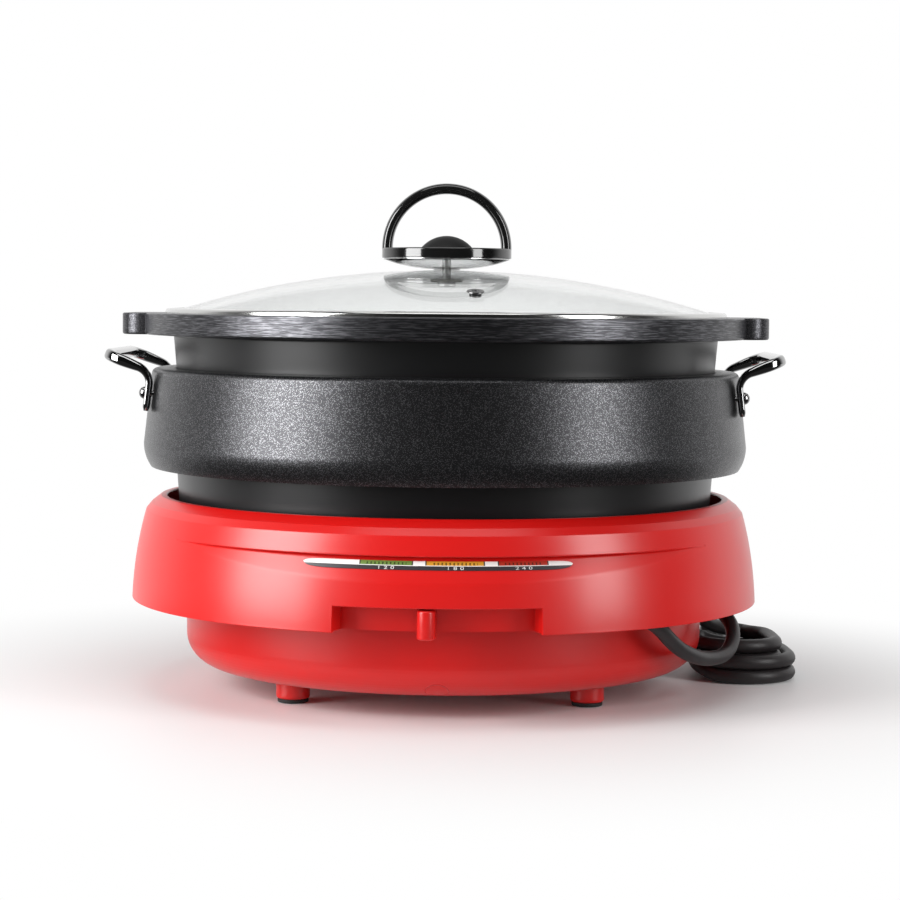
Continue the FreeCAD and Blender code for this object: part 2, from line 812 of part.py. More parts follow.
def make_heating_element():
    """Sheathed tube bent into an open ring, its two ends turned down."""
    ring = doc.addObject("Part::Torus", "element_ring")
    bind(ring, "Radius1", d.element_ring)
    bind(ring, "Radius2", d.element_tube)
    bind(ring, "Angle3", as_size(360) - d.element_gap_angle)
    place(ring, z=element_centre_height())
    ring.Placement.Rotation = FreeCAD.Rotation(FreeCAD.Vector(0, 0, 1), 1)
    bind(ring, "Placement.Rotation.Angle", d.element_gap_angle / 2 + 90)
    pieces = [ring]
    for x, y in element_legs():
        height = element_centre_height() - d.element_leg_bottom
        pieces.append(cylinder("element_leg", d.element_tube, height, x, y, d.element_leg_bottom))
        knee = doc.addObject("Part::Sphere", "element_knee")
        bind(knee, "Radius", d.element_tube)
        pieces.append(place(knee, x, y, element_centre_height()))
    return fuse("heating_element", pieces)


def make_element_bushes():
    """Ceramic bushes that carry the element's ends through the shield."""
    bushes = []
    for x, y in element_legs():
        collar = cylinder("bush_collar", d.bush_radius, d.bush_height / 2, x, y,
                          d.shield_floor + d.shield_sheet)
        neck = cylinder("bush_neck", d.bush_radius - d.shield_sheet, d.bush_height, x, y,
                        d.shield_floor + d.shield_sheet - d.bush_height)
        bore = cylinder("bush_bore", d.element_tube, d.bush_height * 2, x, y,
                        d.shield_floor + d.shield_sheet - d.bush_height)
        bushes.append(cut("element_bush", fuse("bush_solid", [collar, neck]), bore))
    return group("element_bushes", bushes)


def make_element_supports():
    """Three bent feet on the shield's floor, under the element."""
    floor_top = d.shield_floor + d.shield_sheet
    height = element_centre_height() - d.element_tube - floor_top
    feet = []
    for angle in (30, 150, 270):
        x = d.element_ring * math.cos(math.radians(angle))
        y = d.element_ring * math.sin(math.radians(angle))
        post = box("support_post", d.support_width, d.support_sheet, height, x, y, floor_top)
        sole = box("support_sole", d.support_width, d.support_width, d.support_sheet, x,
                   y - d.support_width / 2, floor_top)
        feet.append(fuse("element_support", [post, sole]))
    return group("element_supports", feet)


def make_sensor_cup():
    """Sprung aluminium cup that feels the pot's floor."""
    top = d.pot_floor - d.seat_gap
    inner = d.sensor_radius - d.sensor_wall
    return turned_part("sensor_cup", [
        (0, top - d.sensor_wall),
        (inner, top - d.sensor_wall),
        (inner, top - d.sensor_height),
        (d.sensor_radius, top - d.sensor_height),
        (d.sensor_radius, top - d.sensor_wall),
        (d.sensor_radius - d.sensor_wall, top),
        (0, top),
    ])


def make_sensor_guide():
    """Sleeve on the shield's floor in which the sensor cup slides."""
    base = d.shield_floor + d.shield_sheet
    bore = d.sensor_radius + d.running_fit
    return turned_part("sensor_guide", [
        (0, base),
        (d.guide_flange, base),
        (d.guide_flange, base + d.guide_base),
        (bore + d.guide_wall, base + d.guide_base),
        (bore + d.guide_wall, base + d.guide_height),
        (bore, base + d.guide_height),
        (bore, base + d.guide_base),
        (0, base + d.guide_base),
    ])


def make_sensor_spring():
    """Round-wire spring between the guide's base and the cup's roof."""
    bottom = d.shield_floor + d.shield_sheet + d.guide_base
    top = d.pot_floor - d.seat_gap - d.sensor_wall
    length = top - bottom - d.spring_wire * 2
    helix = doc.addObject("Part::Helix", "spring_line")
    bind(helix, "Pitch", length / d.spring_turns)
    bind(helix, "Height", length)
    bind(helix, "Radius", d.spring_radius)
    place(helix, z=bottom + d.spring_wire)
    wire = doc.addObject("Part::Circle", "spring_section")
    bind(wire, "Radius", d.spring_wire)
    wire.Placement = FreeCAD.Placement(FreeCAD.Vector(0, 0, 0),
                                       FreeCAD.Rotation(FreeCAD.Vector(1, 0, 0), 90))
    place(wire, x=d.spring_radius, z=bottom + d.spring_wire)
    spring = doc.addObject("Part::Sweep", "sensor_spring")
    spring.Sections = [wire]
    spring.Spine = (helix, ["Edge1"])
    spring.Solid = True
    spring.Frenet = True
    return spring


def make_thermostat_body():
    """Switch body under the shield, with the spindle's bore in its underside."""
    bottom = d.lever_bottom + d.lever_sheet + d.lever_clearance
    top = bottom + d.thermostat_height
    bore = d.spindle_radius + d.running_fit
    return turned_part("thermostat_body", [
        (bore, bottom),
        (d.thermostat_radius, bottom),
        (d.thermostat_radius, top),
        (0, top),
        (0, d.spindle_top + d.lever_clearance),
        (bore, d.spindle_top + d.lever_clearance),
    ])


def make_thermostat_bracket():
    """Bent strip that hangs the thermostat from the shield's underside."""
    top_of_switch = d.lever_bottom + d.lever_sheet + d.lever_clearance + d.thermostat_height
    leg_height = d.shield_floor - top_of_switch
    web = box("bracket_web", d.bracket_span, d.bracket_width, d.bracket_sheet, 0, 0, top_of_switch)
    pieces = [web]
    for side in (1, -1):
        x = (d.bracket_span - d.bracket_sheet) / 2 * side
        pieces.append(box("bracket_leg", d.bracket_sheet, d.bracket_width, leg_height, x, 0,
                          top_of_switch))
    return fuse("thermostat_bracket", pieces)


def make_thermostat_spindle():
    bottom = d.lever_bottom
    shaft = cylinder("spindle_shaft", d.spindle_radius, d.spindle_top - bottom, z=bottom)
    head = cylinder("spindle_rivet", d.spindle_head, d.bracket_sheet, z=bottom - d.bracket_sheet)
    return fuse("thermostat_spindle", [shaft, head])


def make_temperature_lever():
    """Flat steel arm from the spindle to the notch, narrower at its tip."""
    body = new_body("temperature_lever")
    top = d.lever_bottom + d.lever_sheet
    half = d.lever_width / 2
    tip = d.lever_tip_width / 2
    raise_outline(body, "Pad", lambda s: draw_circles(s, [(0, 0)], d.lever_hub), d.lever_bottom, top)
    raise_outline(body, "Pad", lambda s: draw_outline(s, [
        (half, 0),
        (-half, 0),
        (-half, -d.lever_taper_start),
        (-tip, -d.lever_taper_start - d.lever_width),
        (-tip, -d.lever_reach),
        (tip, -d.lever_reach),
        (tip, -d.lever_taper_start - d.lever_width),
        (half, -d.lever_taper_start),
    ]), d.lever_bottom, top)
    raise_outline(body, "Pocket", lambda s: draw_circles(s, [(0, 0)], d.spindle_radius),
                  d.lever_bottom - d.lever_sheet, top + d.lever_sheet)
    return swing(body, d.lever_rest_angle)


def make_lever_knob():
    """Finger piece with a half-round front, pushed onto the lever's tip."""
    body = new_body("lever_knob")
    half = d.knob_width / 2
    round_start = d.guard_bottom_radius - half
    raise_outline(body, "Pad", lambda s: draw_outline(s, [
        (-half, -d.knob_back_radius),
        (-half, -round_start, HALF),
        (half, -round_start),
        (half, -d.knob_back_radius),
    ]), d.knob_bottom, d.knob_top)
    tip = d.lever_tip_width / 2
    raise_outline(body, "Pocket", lambda s: draw_outline(s, [
        (-tip, -d.knob_back_radius + d.knob_back_gap),
        (-tip, -d.lever_reach),
        (tip, -d.lever_reach),
        (tip, -d.knob_back_radius + d.knob_back_gap),
    ]), d.lever_bottom, d.lever_bottom + d.lever_sheet)
    return swing(body, d.lever_rest_angle)


# --- wiring in the bowl ------------------------------------------------------------------------


def make_terminal_block():
    floor = d.bowl_bottom + d.bowl_wall
    block = box("terminal_body", d.terminal_length, d.terminal_width, d.terminal_height, 0,
                d.terminal_back, floor)
    screws = []
    for x in (-1, 0, 1):
        screws.append(cylinder("terminal_screw", d.terminal_width / 8, d.terminal_height,
                               d.terminal_length / 3 * x, d.terminal_back,
                               floor + d.terminal_height * 0.15))
    return fuse("terminal_block", [block] + screws)


def make_thermal_fuse():
    """Sleeved fuse clipped to the shield's underside."""
    sleeve = doc.addObject("Part::Cylinder", "thermal_fuse")
    bind(sleeve, "Radius", d.fuse_radius)
    bind(sleeve, "Height", d.fuse_length)
    sleeve.Placement = FreeCAD.Placement(FreeCAD.Vector(0, 0, 0),
                                         FreeCAD.Rotation(FreeCAD.Vector(1, 0, 0), -90))
    place(sleeve, d.fuse_x, 0, d.shield_floor - d.fuse_radius)
    return sleeve


def rounded_path(points, radii=None):
    """Straight runs joined by tangent arcs; each arc takes 0.45 of its shorter run."""
    edges = []
    start = points[0]
    for before, corner, after in zip(points, points[1:], points[2:]):
        shorter = min((corner - before).Length, (after - corner).Length) * 0.45
        inward = (before - corner).normalize()
        onward = (after - corner).normalize()
        first = corner + inward * shorter
        last = corner + onward * shorter
        half_turn = (math.pi - inward.getAngle(onward)) / 2
        radius = shorter / math.tan(half_turn)
        bisector = (inward + onward).normalize()
        centre = corner + bisector * (radius / math.cos(half_turn))
        middle = centre - bisector * radius
        edges.append(Part.LineSegment(start, first).toShape())
        edges.append(Part.Arc(first, middle, last).toShape())
        if radii is not None:
            radii.append((radius, math.degrees(half_turn * 2)))
        start = last
    edges.append(Part.LineSegment(start, points[-1]).toShape())
    return Part.Wire(edges)


def tube_along(path, radius):
    """A solid round tube along a path."""
    start = path.Edges[0]
    direction = start.tangentAt(start.FirstParameter)
    ring = Part.Circle(start.valueAt(start.FirstParameter), direction, radius)
    section = Part.Wire([ring.toShape()])
    return path.makePipeShell([section], True, False)


def make_inner_wires():
    """Leads from the terminal block to the element's two ends and to the thermostat."""
    block_top = (d.bowl_bottom + d.bowl_wall + d.terminal_height).number
    back = d.terminal_back.number
    reach = d.terminal_width.number / 4
    rise = FreeCAD.Vector(0, 0, d.wire_bend.number)
    wires = []
    for (side, leg_back), slot in zip(element_legs(), (1, -1)):
        foot = FreeCAD.Vector(d.terminal_length.number / 3 * slot, back + reach, block_top)
        end = FreeCAD.Vector(side.number, leg_back.number, d.element_leg_bottom.number)
        wires.append([foot, foot + rise, end - rise, end])
    foot = FreeCAD.Vector(0, back - reach, block_top)
    level = (d.lever_bottom + d.lever_sheet + d.lever_clearance + d.thermostat_height / 2).number
    end = FreeCAD.Vector(0, d.thermostat_radius.number, level)
    side_step = FreeCAD.Vector(0, d.wire_bend.number, 0)
    wires.append([foot, foot + rise, end + side_step, end])
    tubes = [tube_along(rounded_path(points), d.wire_radius.number) for points in wires]
    return stand("inner_wires", Part.makeCompound(tubes), FreeCAD.Placement())


# --- deep pot ----------------------------------------------------------------------------------


def make_deep_pot():
    """Cast pot with a drafted wall and a short collar at its rim."""
    inner_floor = d.pot_floor + d.pot_base_thickness
    wall = d.pot_wall
    corner_top = d.pot_floor + d.pot_corner_radius
    collar_foot = d.pot_rim - d.pot_collar
    return turned_part("deep_pot", [
        (0, d.pot_floor),
        (d.pot_floor_radius, d.pot_floor, d.pot_corner_radius),
        (d.pot_low_radius, corner_top),
        (d.pot_high_radius, collar_foot),
        (d.pot_collar_radius, collar_foot),
        (d.pot_collar_radius, d.pot_rim),
        (d.pot_high_radius - wall + d.pot_mouth_draft, d.pot_rim),
        (d.pot_low_radius - wall, corner_top, -(d.pot_corner_radius - wall)),
        (d.pot_floor_radius, inner_floor),
        (0, inner_floor),
    ])


def ring_radius_at(height):
    """The guard ring's outer radius on its sloping wall."""
    wall_top = d.pot_rim - d.ring_top_corner
    slope = (d.ring_low_radius - d.ring_top_radius) / (wall_top - d.ring_bend)
    return d.ring_top_radius + slope * (wall_top - height)


def make_pot_guard_ring():
    """Speckled ring round the pot: a level top, a sloping wall and a foot turned in."""
    sheet = d.ring_sheet
    corner_start = d.ring_top_radius - d.ring_top_corner
    wall_top = d.pot_rim - d.ring_top_corner
    ring = turned_part("ring_skin", [
        (d.pot_collar_radius, d.pot_rim - sheet),
        (corner_start, d.pot_rim - sheet, -(d.ring_top_corner - sheet)),
        (d.ring_top_radius - sheet, wall_top),
        (d.ring_low_radius - sheet, d.ring_bend, -(d.ring_foot_bend - sheet)),
        (d.ring_foot_radius - sheet, d.ring_bottom + sheet),
        (d.ring_foot_inner, d.ring_bottom + sheet),
        (d.ring_foot_inner, d.ring_bottom),
        (d.ring_foot_radius, d.ring_bottom, d.ring_foot_bend),
        (d.ring_low_radius, d.ring_bend),
        (d.ring_top_radius, wall_top, d.ring_top_corner),
        (corner_start, d.pot_rim),
        (d.pot_collar_radius, d.pot_rim),
    ])
    shanks = [rivet_shank(side, way) for side in (1, -1) for way in (1, -1)]
    return cut("pot_guard_ring", ring, fuse("ring_rivet_space", shanks))


def leg_radius_at(height):
    """The inner face of a handle's leg, which touches the ring at the arm's edge."""
    nearest = d.handle_half_gap - d.handle_arm_width / 2
    return chord_depth(ring_radius_at(height), nearest) + d.handle_seat_gap


def make_handle(label, side):
    """Two bent arms riveted to the guard ring and joined by a round bar at their tips."""
    thick = d.handle_thickness
    leg_foot = leg_radius_at(d.handle_leg_bottom)
    leg_top = leg_radius_at(d.handle_elbow)
    inner_bend = d.handle_bend_radius
    outer_bend = inner_bend + thick
    run = as_size(1) - cosine(d.handle_bend)
    rise = sine(d.handle_bend)
    bar_x = d.handle_tip - d.handle_bar_radius
    bar_half = d.handle_bar_radius * 0.9
    outline = [
        (leg_foot, d.handle_leg_bottom),
        (leg_foot + thick, d.handle_leg_bottom),
        (leg_top + thick, d.handle_elbow, -inner_bend),
        (leg_top + thick + inner_bend * run, d.handle_elbow + inner_bend * rise),
        (bar_x, d.handle_tip_height - bar_half),
        (bar_x, d.handle_tip_height + bar_half),
        (leg_top + outer_bend * run, d.handle_elbow + outer_bend * rise, outer_bend),
        (leg_top, d.handle_elbow),
    ]
    mirrored = [(corner[0] * side, corner[1]) + tuple(radius * side for radius in corner[2:])
                for corner in outline]
    arms = []
    for way in (1, -1):
        body = new_body("handle_arm")
        body.Label = f"{label}_arm_{way}"
        sketch = new_sketch(body, "XZ_Plane", d.handle_half_gap * -way - d.handle_arm_width / 2)
        draw_outline(sketch, mirrored)
        pad = body.newObject("PartDesign::Pad", "arm_pad")
        pad.Profile = sketch
        bind(pad, "Length", d.handle_arm_width)
        arms.append(body)
    bar = doc.addObject("Part::Cylinder", label + "_bar")
    bind(bar, "Radius", d.handle_bar_radius)
    bind(bar, "Height", d.handle_half_gap * 2 + d.handle_arm_width)
    bar.Placement = FreeCAD.Placement(FreeCAD.Vector(0, 0, 0),
                                      FreeCAD.Rotation(FreeCAD.Vector(1, 0, 0), -90))
    place(bar, bar_x * side, -d.handle_half_gap - d.handle_arm_width / 2, d.handle_tip_height)
    shanks = [rivet_shank(side, way) for way in (1, -1)]
    return cut(label, fuse(label + "_solid", arms + [bar]), fuse(label + "_rivet_space", shanks))


def rivet_placement(side, way):
    """A frame on the outer face of a handle's leg, its Z axis square to that face."""
    top = d.handle_elbow.number
    foot = d.handle_leg_bottom.number
    top_x = leg_radius_at(d.handle_elbow).number + d.handle_thickness.number
    foot_x = leg_radius_at(d.handle_leg_bottom).number + d.handle_thickness.number
    height = d.rivet_height.number
    x = top_x + (foot_x - top_x) * (top - height) / (top - foot)
    seat = FreeCAD.Vector(x * side, d.handle_half_gap.number * way, height)
    outward = FreeCAD.Vector((top - foot) * side, 0, foot_x - top_x)
    return FreeCAD.Placement(seat, FreeCAD.Rotation(FreeCAD.Vector(0, 0, 1), outward))


def shank_shape():
    """A rivet's shank from its head's seat through the leg and the ring's wall."""
    length = d.handle_thickness.number + d.ring_sheet.number * 3
    return Part.makeCylinder(d.rivet_radius.number, length, FreeCAD.Vector(0, 0, -length))


def rivet_shank(side, way):
    return stand("rivet_space", shank_shape(), rivet_placement(side, way))


def make_handle_rivets():
    """Domed rivets through the handles' legs and the guard ring's wall."""
    head = d.rivet_head_radius.number
    rise = d.rivet_head_height.number
    ball = (head * head + rise * rise) / (2 * rise)
    dome = Part.makeSphere(ball, FreeCAD.Vector(0, 0, rise - ball))
    front = Part.makeCylinder(ball, rise * 2)
    rivet = shank_shape().fuse(dome.common(front))
    rivets = [stand("handle_rivet", rivet, rivet_placement(side, way))
              for side in (1, -1) for way in (1, -1)]
    return group("handle_rivets", rivets)


# --- grill plate -------------------------------------------------------------------------------


def make_grill_plate():
    """Cast plate: a thick flange with two ears, a drafted wall, a flat floor, a seat for the lid."""
    body = new_body("grill_plate")
    half = d.ear_half_width
    reach = d.ear_reach
    corner = d.ear_corner
    raise_outline(body, "Pad", lambda s: draw_circles(s, [(0, 0)], d.flange_radius),
                  d.flange_bottom, d.flange_top)
    raise_outline(body, "Pad", lambda s: draw_outline(s, [
        (-reach + corner, -half),
        (reach - corner, -half, corner),
        (reach, -half + corner),
        (reach, half - corner, corner),
        (reach - corner, half),
        (-reach + corner, half, corner),
        (-reach, half - corner),
        (-reach, -half + corner, corner),
    ]), d.flange_bottom, d.flange_top)
    corner_top = d.plate_bottom + d.plate_corner
    low_radius = d.plate_low_radius
    turn(body, "Revolution", [
        (0, d.plate_bottom),
        (d.plate_floor_radius, d.plate_bottom, d.plate_corner),
        (low_radius, corner_top),
        (d.plate_mouth_radius, d.pot_rim),
        (d.plate_neck_radius, d.flange_bottom),
        (d.plate_neck_radius, d.flange_top),
        (0, d.flange_top),
    ])
    inner_floor = d.plate_bottom + d.plate_base_thickness
    seat = lid_bottom() - d.seat_gap
    wall = d.plate_wall
    turn(body, "Groove", [
        (0, inner_floor),
        (d.plate_floor_radius, inner_floor, d.plate_corner - wall),
        (low_radius - wall, corner_top + d.plate_corner_rise),
        (d.plate_mouth_radius - wall, d.pot_rim),
        (d.plate_neck_radius - wall, seat - wall),
        (d.plate_neck_radius - wall, seat),
        (d.recess_radius, seat),
        (d.recess_radius, d.flange_top + wall),
        (0, d.flange_top + wall),
    ])
    return body


# --- lid ---------------------------------------------------------------------------------------


def glass_ball():
    """The radius of the dome's ball, from its rise over its radius."""
    return (d.glass_radius * d.glass_radius + d.glass_rise * d.glass_rise) / (d.glass_rise * 2)


def vent_placement():
    """A frame on the dome at the vent, its Z axis along the glass's normal."""
    ball = glass_ball().number
    x = d.vent_x.number
    y = -d.vent_front.number
    centre_height = d.glass_top.number - ball
    height = centre_height + math.sqrt(ball * ball - x * x - y * y)
    seat = FreeCAD.Vector(x, y, height)
    normal = FreeCAD.Vector(x, y, height - centre_height)
    return FreeCAD.Placement(seat, FreeCAD.Rotation(FreeCAD.Vector(0, 0, 1), normal))


def make_lid_glass():
    """Pressed glass dome with a screw hole and a vent hole."""
    edge = d.glass_top - d.glass_rise
    thick = d.glass_thickness
    ball = glass_ball()
    dome = new_body("glass_dome")
    turn(dome, "Revolution", [
        (0, d.glass_top - thick, -ball),
        (d.glass_radius, edge - thick),
        (d.glass_radius, edge, ball),
        (0, d.glass_top),
    ])
    screw_hole = cylinder("glass_screw_hole", d.lid_screw_radius, thick * 3,
                          z=d.glass_top - thick * 2)
    drilled = cut("glass_drilled", dome, screw_hole)
    vent = Part.makeCylinder(d.vent_hole.number, thick.number * 3,
                             FreeCAD.Vector(0, 0, -thick.number * 2))
    return cut("lid_glass", drilled, stand("vent_space", vent, vent_placement()))


def lid_bottom():
    """The height of the lid rim's underside, which stands in the plate's seat."""
    return d.glass_top - d.glass_rise - d.glass_thickness - d.rim_sheet


def make_lid_rim():
    """Steel channel folded round the glass's edge."""
    edge = d.glass_top - d.glass_rise
    sheet = d.rim_sheet
    bottom = lid_bottom()
    lip = d.glass_radius - d.rim_lip
    glass_face = edge + d.rim_glass_gap
    return turned_part("lid_rim", [
        (lip, bottom),
        (d.rim_radius - sheet, bottom),
        (d.rim_radius, bottom + sheet),
        (d.rim_radius, edge + sheet),
        (d.rim_radius - sheet, edge + sheet * 2),
        (lip, edge + d.rim_slope + sheet * 1.5),
        (lip, glass_face + d.rim_slope),
        (d.glass_radius, glass_face),
        (d.glass_radius, bottom + sheet),
        (lip, bottom + sheet),
    ])


def make_vent_eyelet():
    """Rolled steel eyelet through the glass."""
    flange = d.vent_flange.number
    hole = d.vent_hole.number
    bore = d.vent_bore.number
    sheet = d.vent_sheet.number
    deep = d.glass_thickness.number + sheet
    tube = Part.makeCylinder(hole, deep + 0.6, FreeCAD.Vector(0, 0, -deep))
    collar = Part.makeCone(flange, flange - sheet * 0.6, sheet, FreeCAD.Vector(0, 0, 0.12))
    solid = tube.fuse(collar)
    through = Part.makeCylinder(bore, deep * 3, FreeCAD.Vector(0, 0, -deep * 1.5))
    return stand("vent_eyelet", solid.cut(through), vent_placement())


def make_knob_base():
    """Dished disc on the glass's top, with the screw's hole."""
    foot = d.glass_top + d.disc_foot_gap
    return turned_part("knob_base", [
        (d.lid_screw_radius, foot),
        (d.disc_foot_radius, foot),
        (d.disc_radius - 4, d.disc_rim_low - 1.2),
        (d.disc_radius, d.disc_rim_low),
        (d.disc_radius, d.disc_rim_top),
        (d.disc_radius - d.disc_bevel, d.disc_top),
        (d.lid_screw_radius, d.disc_top),
    ])


def make_knob_arch():
    """Half-round grip that springs from the disc's two sides."""
    body = new_body("knob_arch")
    outer = d.disc_radius
    inner = d.disc_radius - d.arch_band
    spring = d.disc_top
    sketch = new_sketch(body, "XZ_Plane", -d.arch_width / 2)
    draw_outline(sketch, [
        (outer, spring, outer),
        (0, spring + outer, outer),
        (-outer, spring),
        (-inner, spring, -inner),
        (0, spring + inner, -inner),
        (inner, spring),
    ])
    pad = body.newObject("PartDesign::Pad", "arch_pad")
    pad.Profile = sketch
    bind(pad, "Length", d.arch_width)
    doc.recompute()
    rounded = body.newObject("PartDesign::Fillet", "arch_round")
    names = []
    for i, edge in enumerate(pad.Shape.Edges, start=1):
        if edge.Curve.TypeId == "Part::GeomCircle":
            names.append(f"Edge{i}")
    rounded.Base = (pad, names)
    bind(rounded, "Radius", d.arch_round)
    return body


def make_knob_dome():
    """Low round cap in the middle of the disc."""
    ball = (d.dome_radius * d.dome_radius + d.dome_height * d.dome_height) / (d.dome_height * 2)
    return turned_part("knob_dome", [
        (0, d.disc_top),
        (d.dome_radius, d.disc_top, ball),
        (0, d.disc_top + d.dome_height),
    ])


def make_knob_screw():
    washer_bottom = d.glass_top - d.glass_thickness - d.washer_sheet
    shank = cylinder("lid_screw_shank", d.lid_screw_radius, d.lid_screw_top - washer_bottom,
                     z=washer_bottom)
    head = cylinder("lid_screw_head", d.lid_screw_head, d.lid_screw_head_height,
                    z=washer_bottom - d.lid_screw_head_height)
    return fuse("knob_screw", [shank, head])


def make_knob_washer():
    bottom = d.glass_top - d.glass_thickness - d.washer_sheet
    return turned_part("knob_washer", disc_profile(d.lid_screw_radius, d.washer_radius, bottom,
                                                   bottom + d.washer_sheet - 0.15))


# --- mains cord --------------------------------------------------------------------------------


def gland_placement():
    """A frame on the boss's side face, its Z axis along the cord's way out."""
    around = math.radians(d.cord_boss_start.number + d.cord_boss_angle.number)
    radius = d.cord_circle.number
    seat = FreeCAD.Vector(radius * math.sin(around), -radius * math.cos(around),
                          d.gland_height.number)
    drop = math.radians(d.gland_drop_angle.number)
    way = FreeCAD.Vector(math.cos(around) * math.cos(drop), math.sin(around) * math.cos(drop),
                         -math.sin(drop))
    return FreeCAD.Placement(seat, FreeCAD.Rotation(FreeCAD.Vector(0, 0, 1), way))


def relief_shape():
    """Tapered sleeve with a spigot at its root, along its own Z axis."""
    sleeve = Part.makeCone(d.relief_root_radius.number, d.relief_tip_radius.number,
                           d.relief_length.number)
    keep = Part.makeCylinder(d.spigot_radius.number, d.spigot_length.number,
                             FreeCAD.Vector(0, 0, -d.spigot_length.number))
    return sleeve.fuse(keep).removeSplitter()


def make_strain_relief():
    """The sleeve at the cord's exit, its spigot and root held in the boss."""
    return stand("strain_relief", relief_shape(), gland_placement())


# The lead's route from the relief's tip to the coil's top turn: first straight out of the relief.
LEAD_POINTS = [
    (109.643, -116.117, 50.872),
    (121.5, -101.0, 36.0),
    (131.0, -86.0, 27.0),
    (142.0, -65.0, 20.5),
    (156.0, -42.0, 21.5),
    (163.0, -22.0, 34.0),
    (158.0, -3.0, 45.0),
    (155.0, 16.0, 45.5),
    (152.0, 31.0, 40.0),
    (148.0, 45.0, 34.0),
    (150.5, 59.0, 28.0),
    (160.5, 70.0, 22.5),
    (175.0, 75.2, 20.0),
]


def make_cord_lead(radii):
    """The lead from the relief's tip, down in front and up again, then onto the coil."""
    gland = gland_placement()
    tip = gland.multVec(FreeCAD.Vector(0, 0, d.relief_length.number))
    points = [tip] + [FreeCAD.Vector(*p) for p in LEAD_POINTS]
    path = rounded_path(points, radii)
    tube = tube_along(path, d.cord_radius.number)
    expected = math.pi * d.cord_radius.number ** 2 * path.Length
    print(f"lead: {path.Length:.1f} mm, volume {tube.Volume:.0f} of {expected:.0f}")
    return stand("cord_lead", tube, FreeCAD.Placement())


def coil_tail():
    """Where the cord leaves the coil for the plug: a point and a level direction."""
    around = math.radians(180 - d.plug_tilt.number)
    middle = d.coil_outer.number - d.cord_radius.number
    point = FreeCAD.Vector(d.coil_x.number + middle * math.cos(around),
                           d.coil_back_y.number + middle * math.sin(around),
                           d.plug_height.number / 2)
    tilt = math.radians(d.plug_tilt.number)
    return point, FreeCAD.Vector(math.sin(tilt), math.cos(tilt), 0)


def tail_length():
    return d.coil_outer.number * 0.75


def make_cord_coil():
    """The stacked turns' outer shape: an oval ring, with the stub that runs to the plug."""
    body = new_body("coil_ring")
    x = d.coil_x
    front = d.coil_front_y
    back = d.coil_back_y
    for kind, radius in (("Pad", d.coil_outer), ("Pocket", d.coil_inner)):
        raise_outline(body, kind, lambda s: draw_outline(s, [
            (x - radius, front, HALF),
            (x + radius, front),
            (x + radius, back, HALF),
            (x - radius, back),
        ]), as_size(0) if kind == "Pad" else as_size(-1), d.coil_height + (kind == "Pocket"))
    point, way = coil_tail()
    stub = Part.makeCylinder(d.cord_radius.number, tail_length(), point, way)
    return fuse("cord_coil", [body, stand("coil_stub", stub, FreeCAD.Placement())])


def plug_placement():
    """A frame at the plug's relief, its Z axis along the cord's way into the plug."""
    point, way = coil_tail()
    turn_up = FreeCAD.Rotation(way.cross(FreeCAD.Vector(0, 0, 1)), FreeCAD.Vector(0, 0, 1), way, "ZXY")
    return FreeCAD.Placement(point + way * tail_length(), turn_up)


def make_power_plug():
    """Moulded two-blade plug lying on its narrow side, with its own short relief."""
    relief = Part.makeCone(d.cord_radius.number * 1.25, d.cord_radius.number * 1.5,
                           d.plug_relief.number)
    width = d.plug_width.number
    height = d.plug_height.number
    length = d.plug_length.number
    body = Part.makeBox(width, height, length,
                        FreeCAD.Vector(-width / 2, -height / 2, d.plug_relief.number))
    body = body.makeFillet(3.0, body.Edges)
    return stand("power_plug", body.fuse(relief).removeSplitter(), plug_placement())


def make_plug_blades():
    blades = []
    face = d.plug_relief.number + d.plug_length.number
    for way in (1, -1):
        corner = FreeCAD.Vector(-d.blade_width.number / 2,
                                d.blade_gap.number / 2 * way - d.blade_sheet.number / 2, face)
        blades.append(Part.makeBox(d.blade_width.number, d.blade_sheet.number,
                                   d.blade_length.number, corner))
    return stand("plug_blades", Part.makeCompound(blades), plug_placement())


# --- building, checking and writing ------------------------------------------------------------

lead_radii = []
parts = [
    make_lower_bowl(),
    make_upper_guard(),
    make_scale_strip(),
    make_foot_pads(),
    make_case_screws(),
    make_heat_shield(),
    make_heating_element(),
    make_element_bushes(),
    make_element_supports(),
    make_sensor_cup(),
    make_sensor_guide(),
    make_sensor_spring(),
    make_thermostat_body(),
    make_thermostat_bracket(),
    make_thermostat_spindle(),
    make_temperature_lever(),
    make_lever_knob(),
    make_terminal_block(),
    make_thermal_fuse(),
    make_inner_wires(),
    make_deep_pot(),
    make_pot_guard_ring(),
    make_handle("pot_handle_right", 1),
    make_handle("pot_handle_left", -1),
    make_handle_rivets(),
    make_grill_plate(),
    make_lid_glass(),
    make_lid_rim(),
    make_vent_eyelet(),
    make_knob_base(),
    make_knob_arch(),
    make_knob_dome(),
    make_knob_screw(),
    make_knob_washer(),
    make_strain_relief(),
    make_cord_lead(lead_radii),
    make_cord_coil(),
    make_power_plug(),
    make_plug_blades(),
]
doc.recompute()

faults = []
for item in doc.Objects:
    if "Invalid" in item.State or "Error" in item.State:
        faults.append(f"{item.Label}: {item.State}")
for item in parts:
    if item.Shape.isNull() or not item.Shape.isValid() or not item.Shape.Solids:
        faults.append(f"{item.Label}: bad shape")
if faults:
    raise RuntimeError("; ".join(faults))

os.makedirs("parts", exist_ok=True)
for item in parts:
    item.Shape.exportStep(f"parts/{item.Label}.step")
    bounds = item.Shape.BoundBox
    print(f"{item.Label}: {len(item.Shape.Solids)} solid(s), {item.Shape.Volume / 1000:.1f} cm3, "
          f"z {bounds.ZMin:.1f} to {bounds.ZMax:.1f}")
print("bend radii and turns of the lead:",
      ", ".join(f"{radius:.0f} mm at {angle:.0f}" for radius, angle in lead_radii))
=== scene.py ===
import math

import bmesh
import bpy
import numpy as np
from mathutils import Matrix, Vector


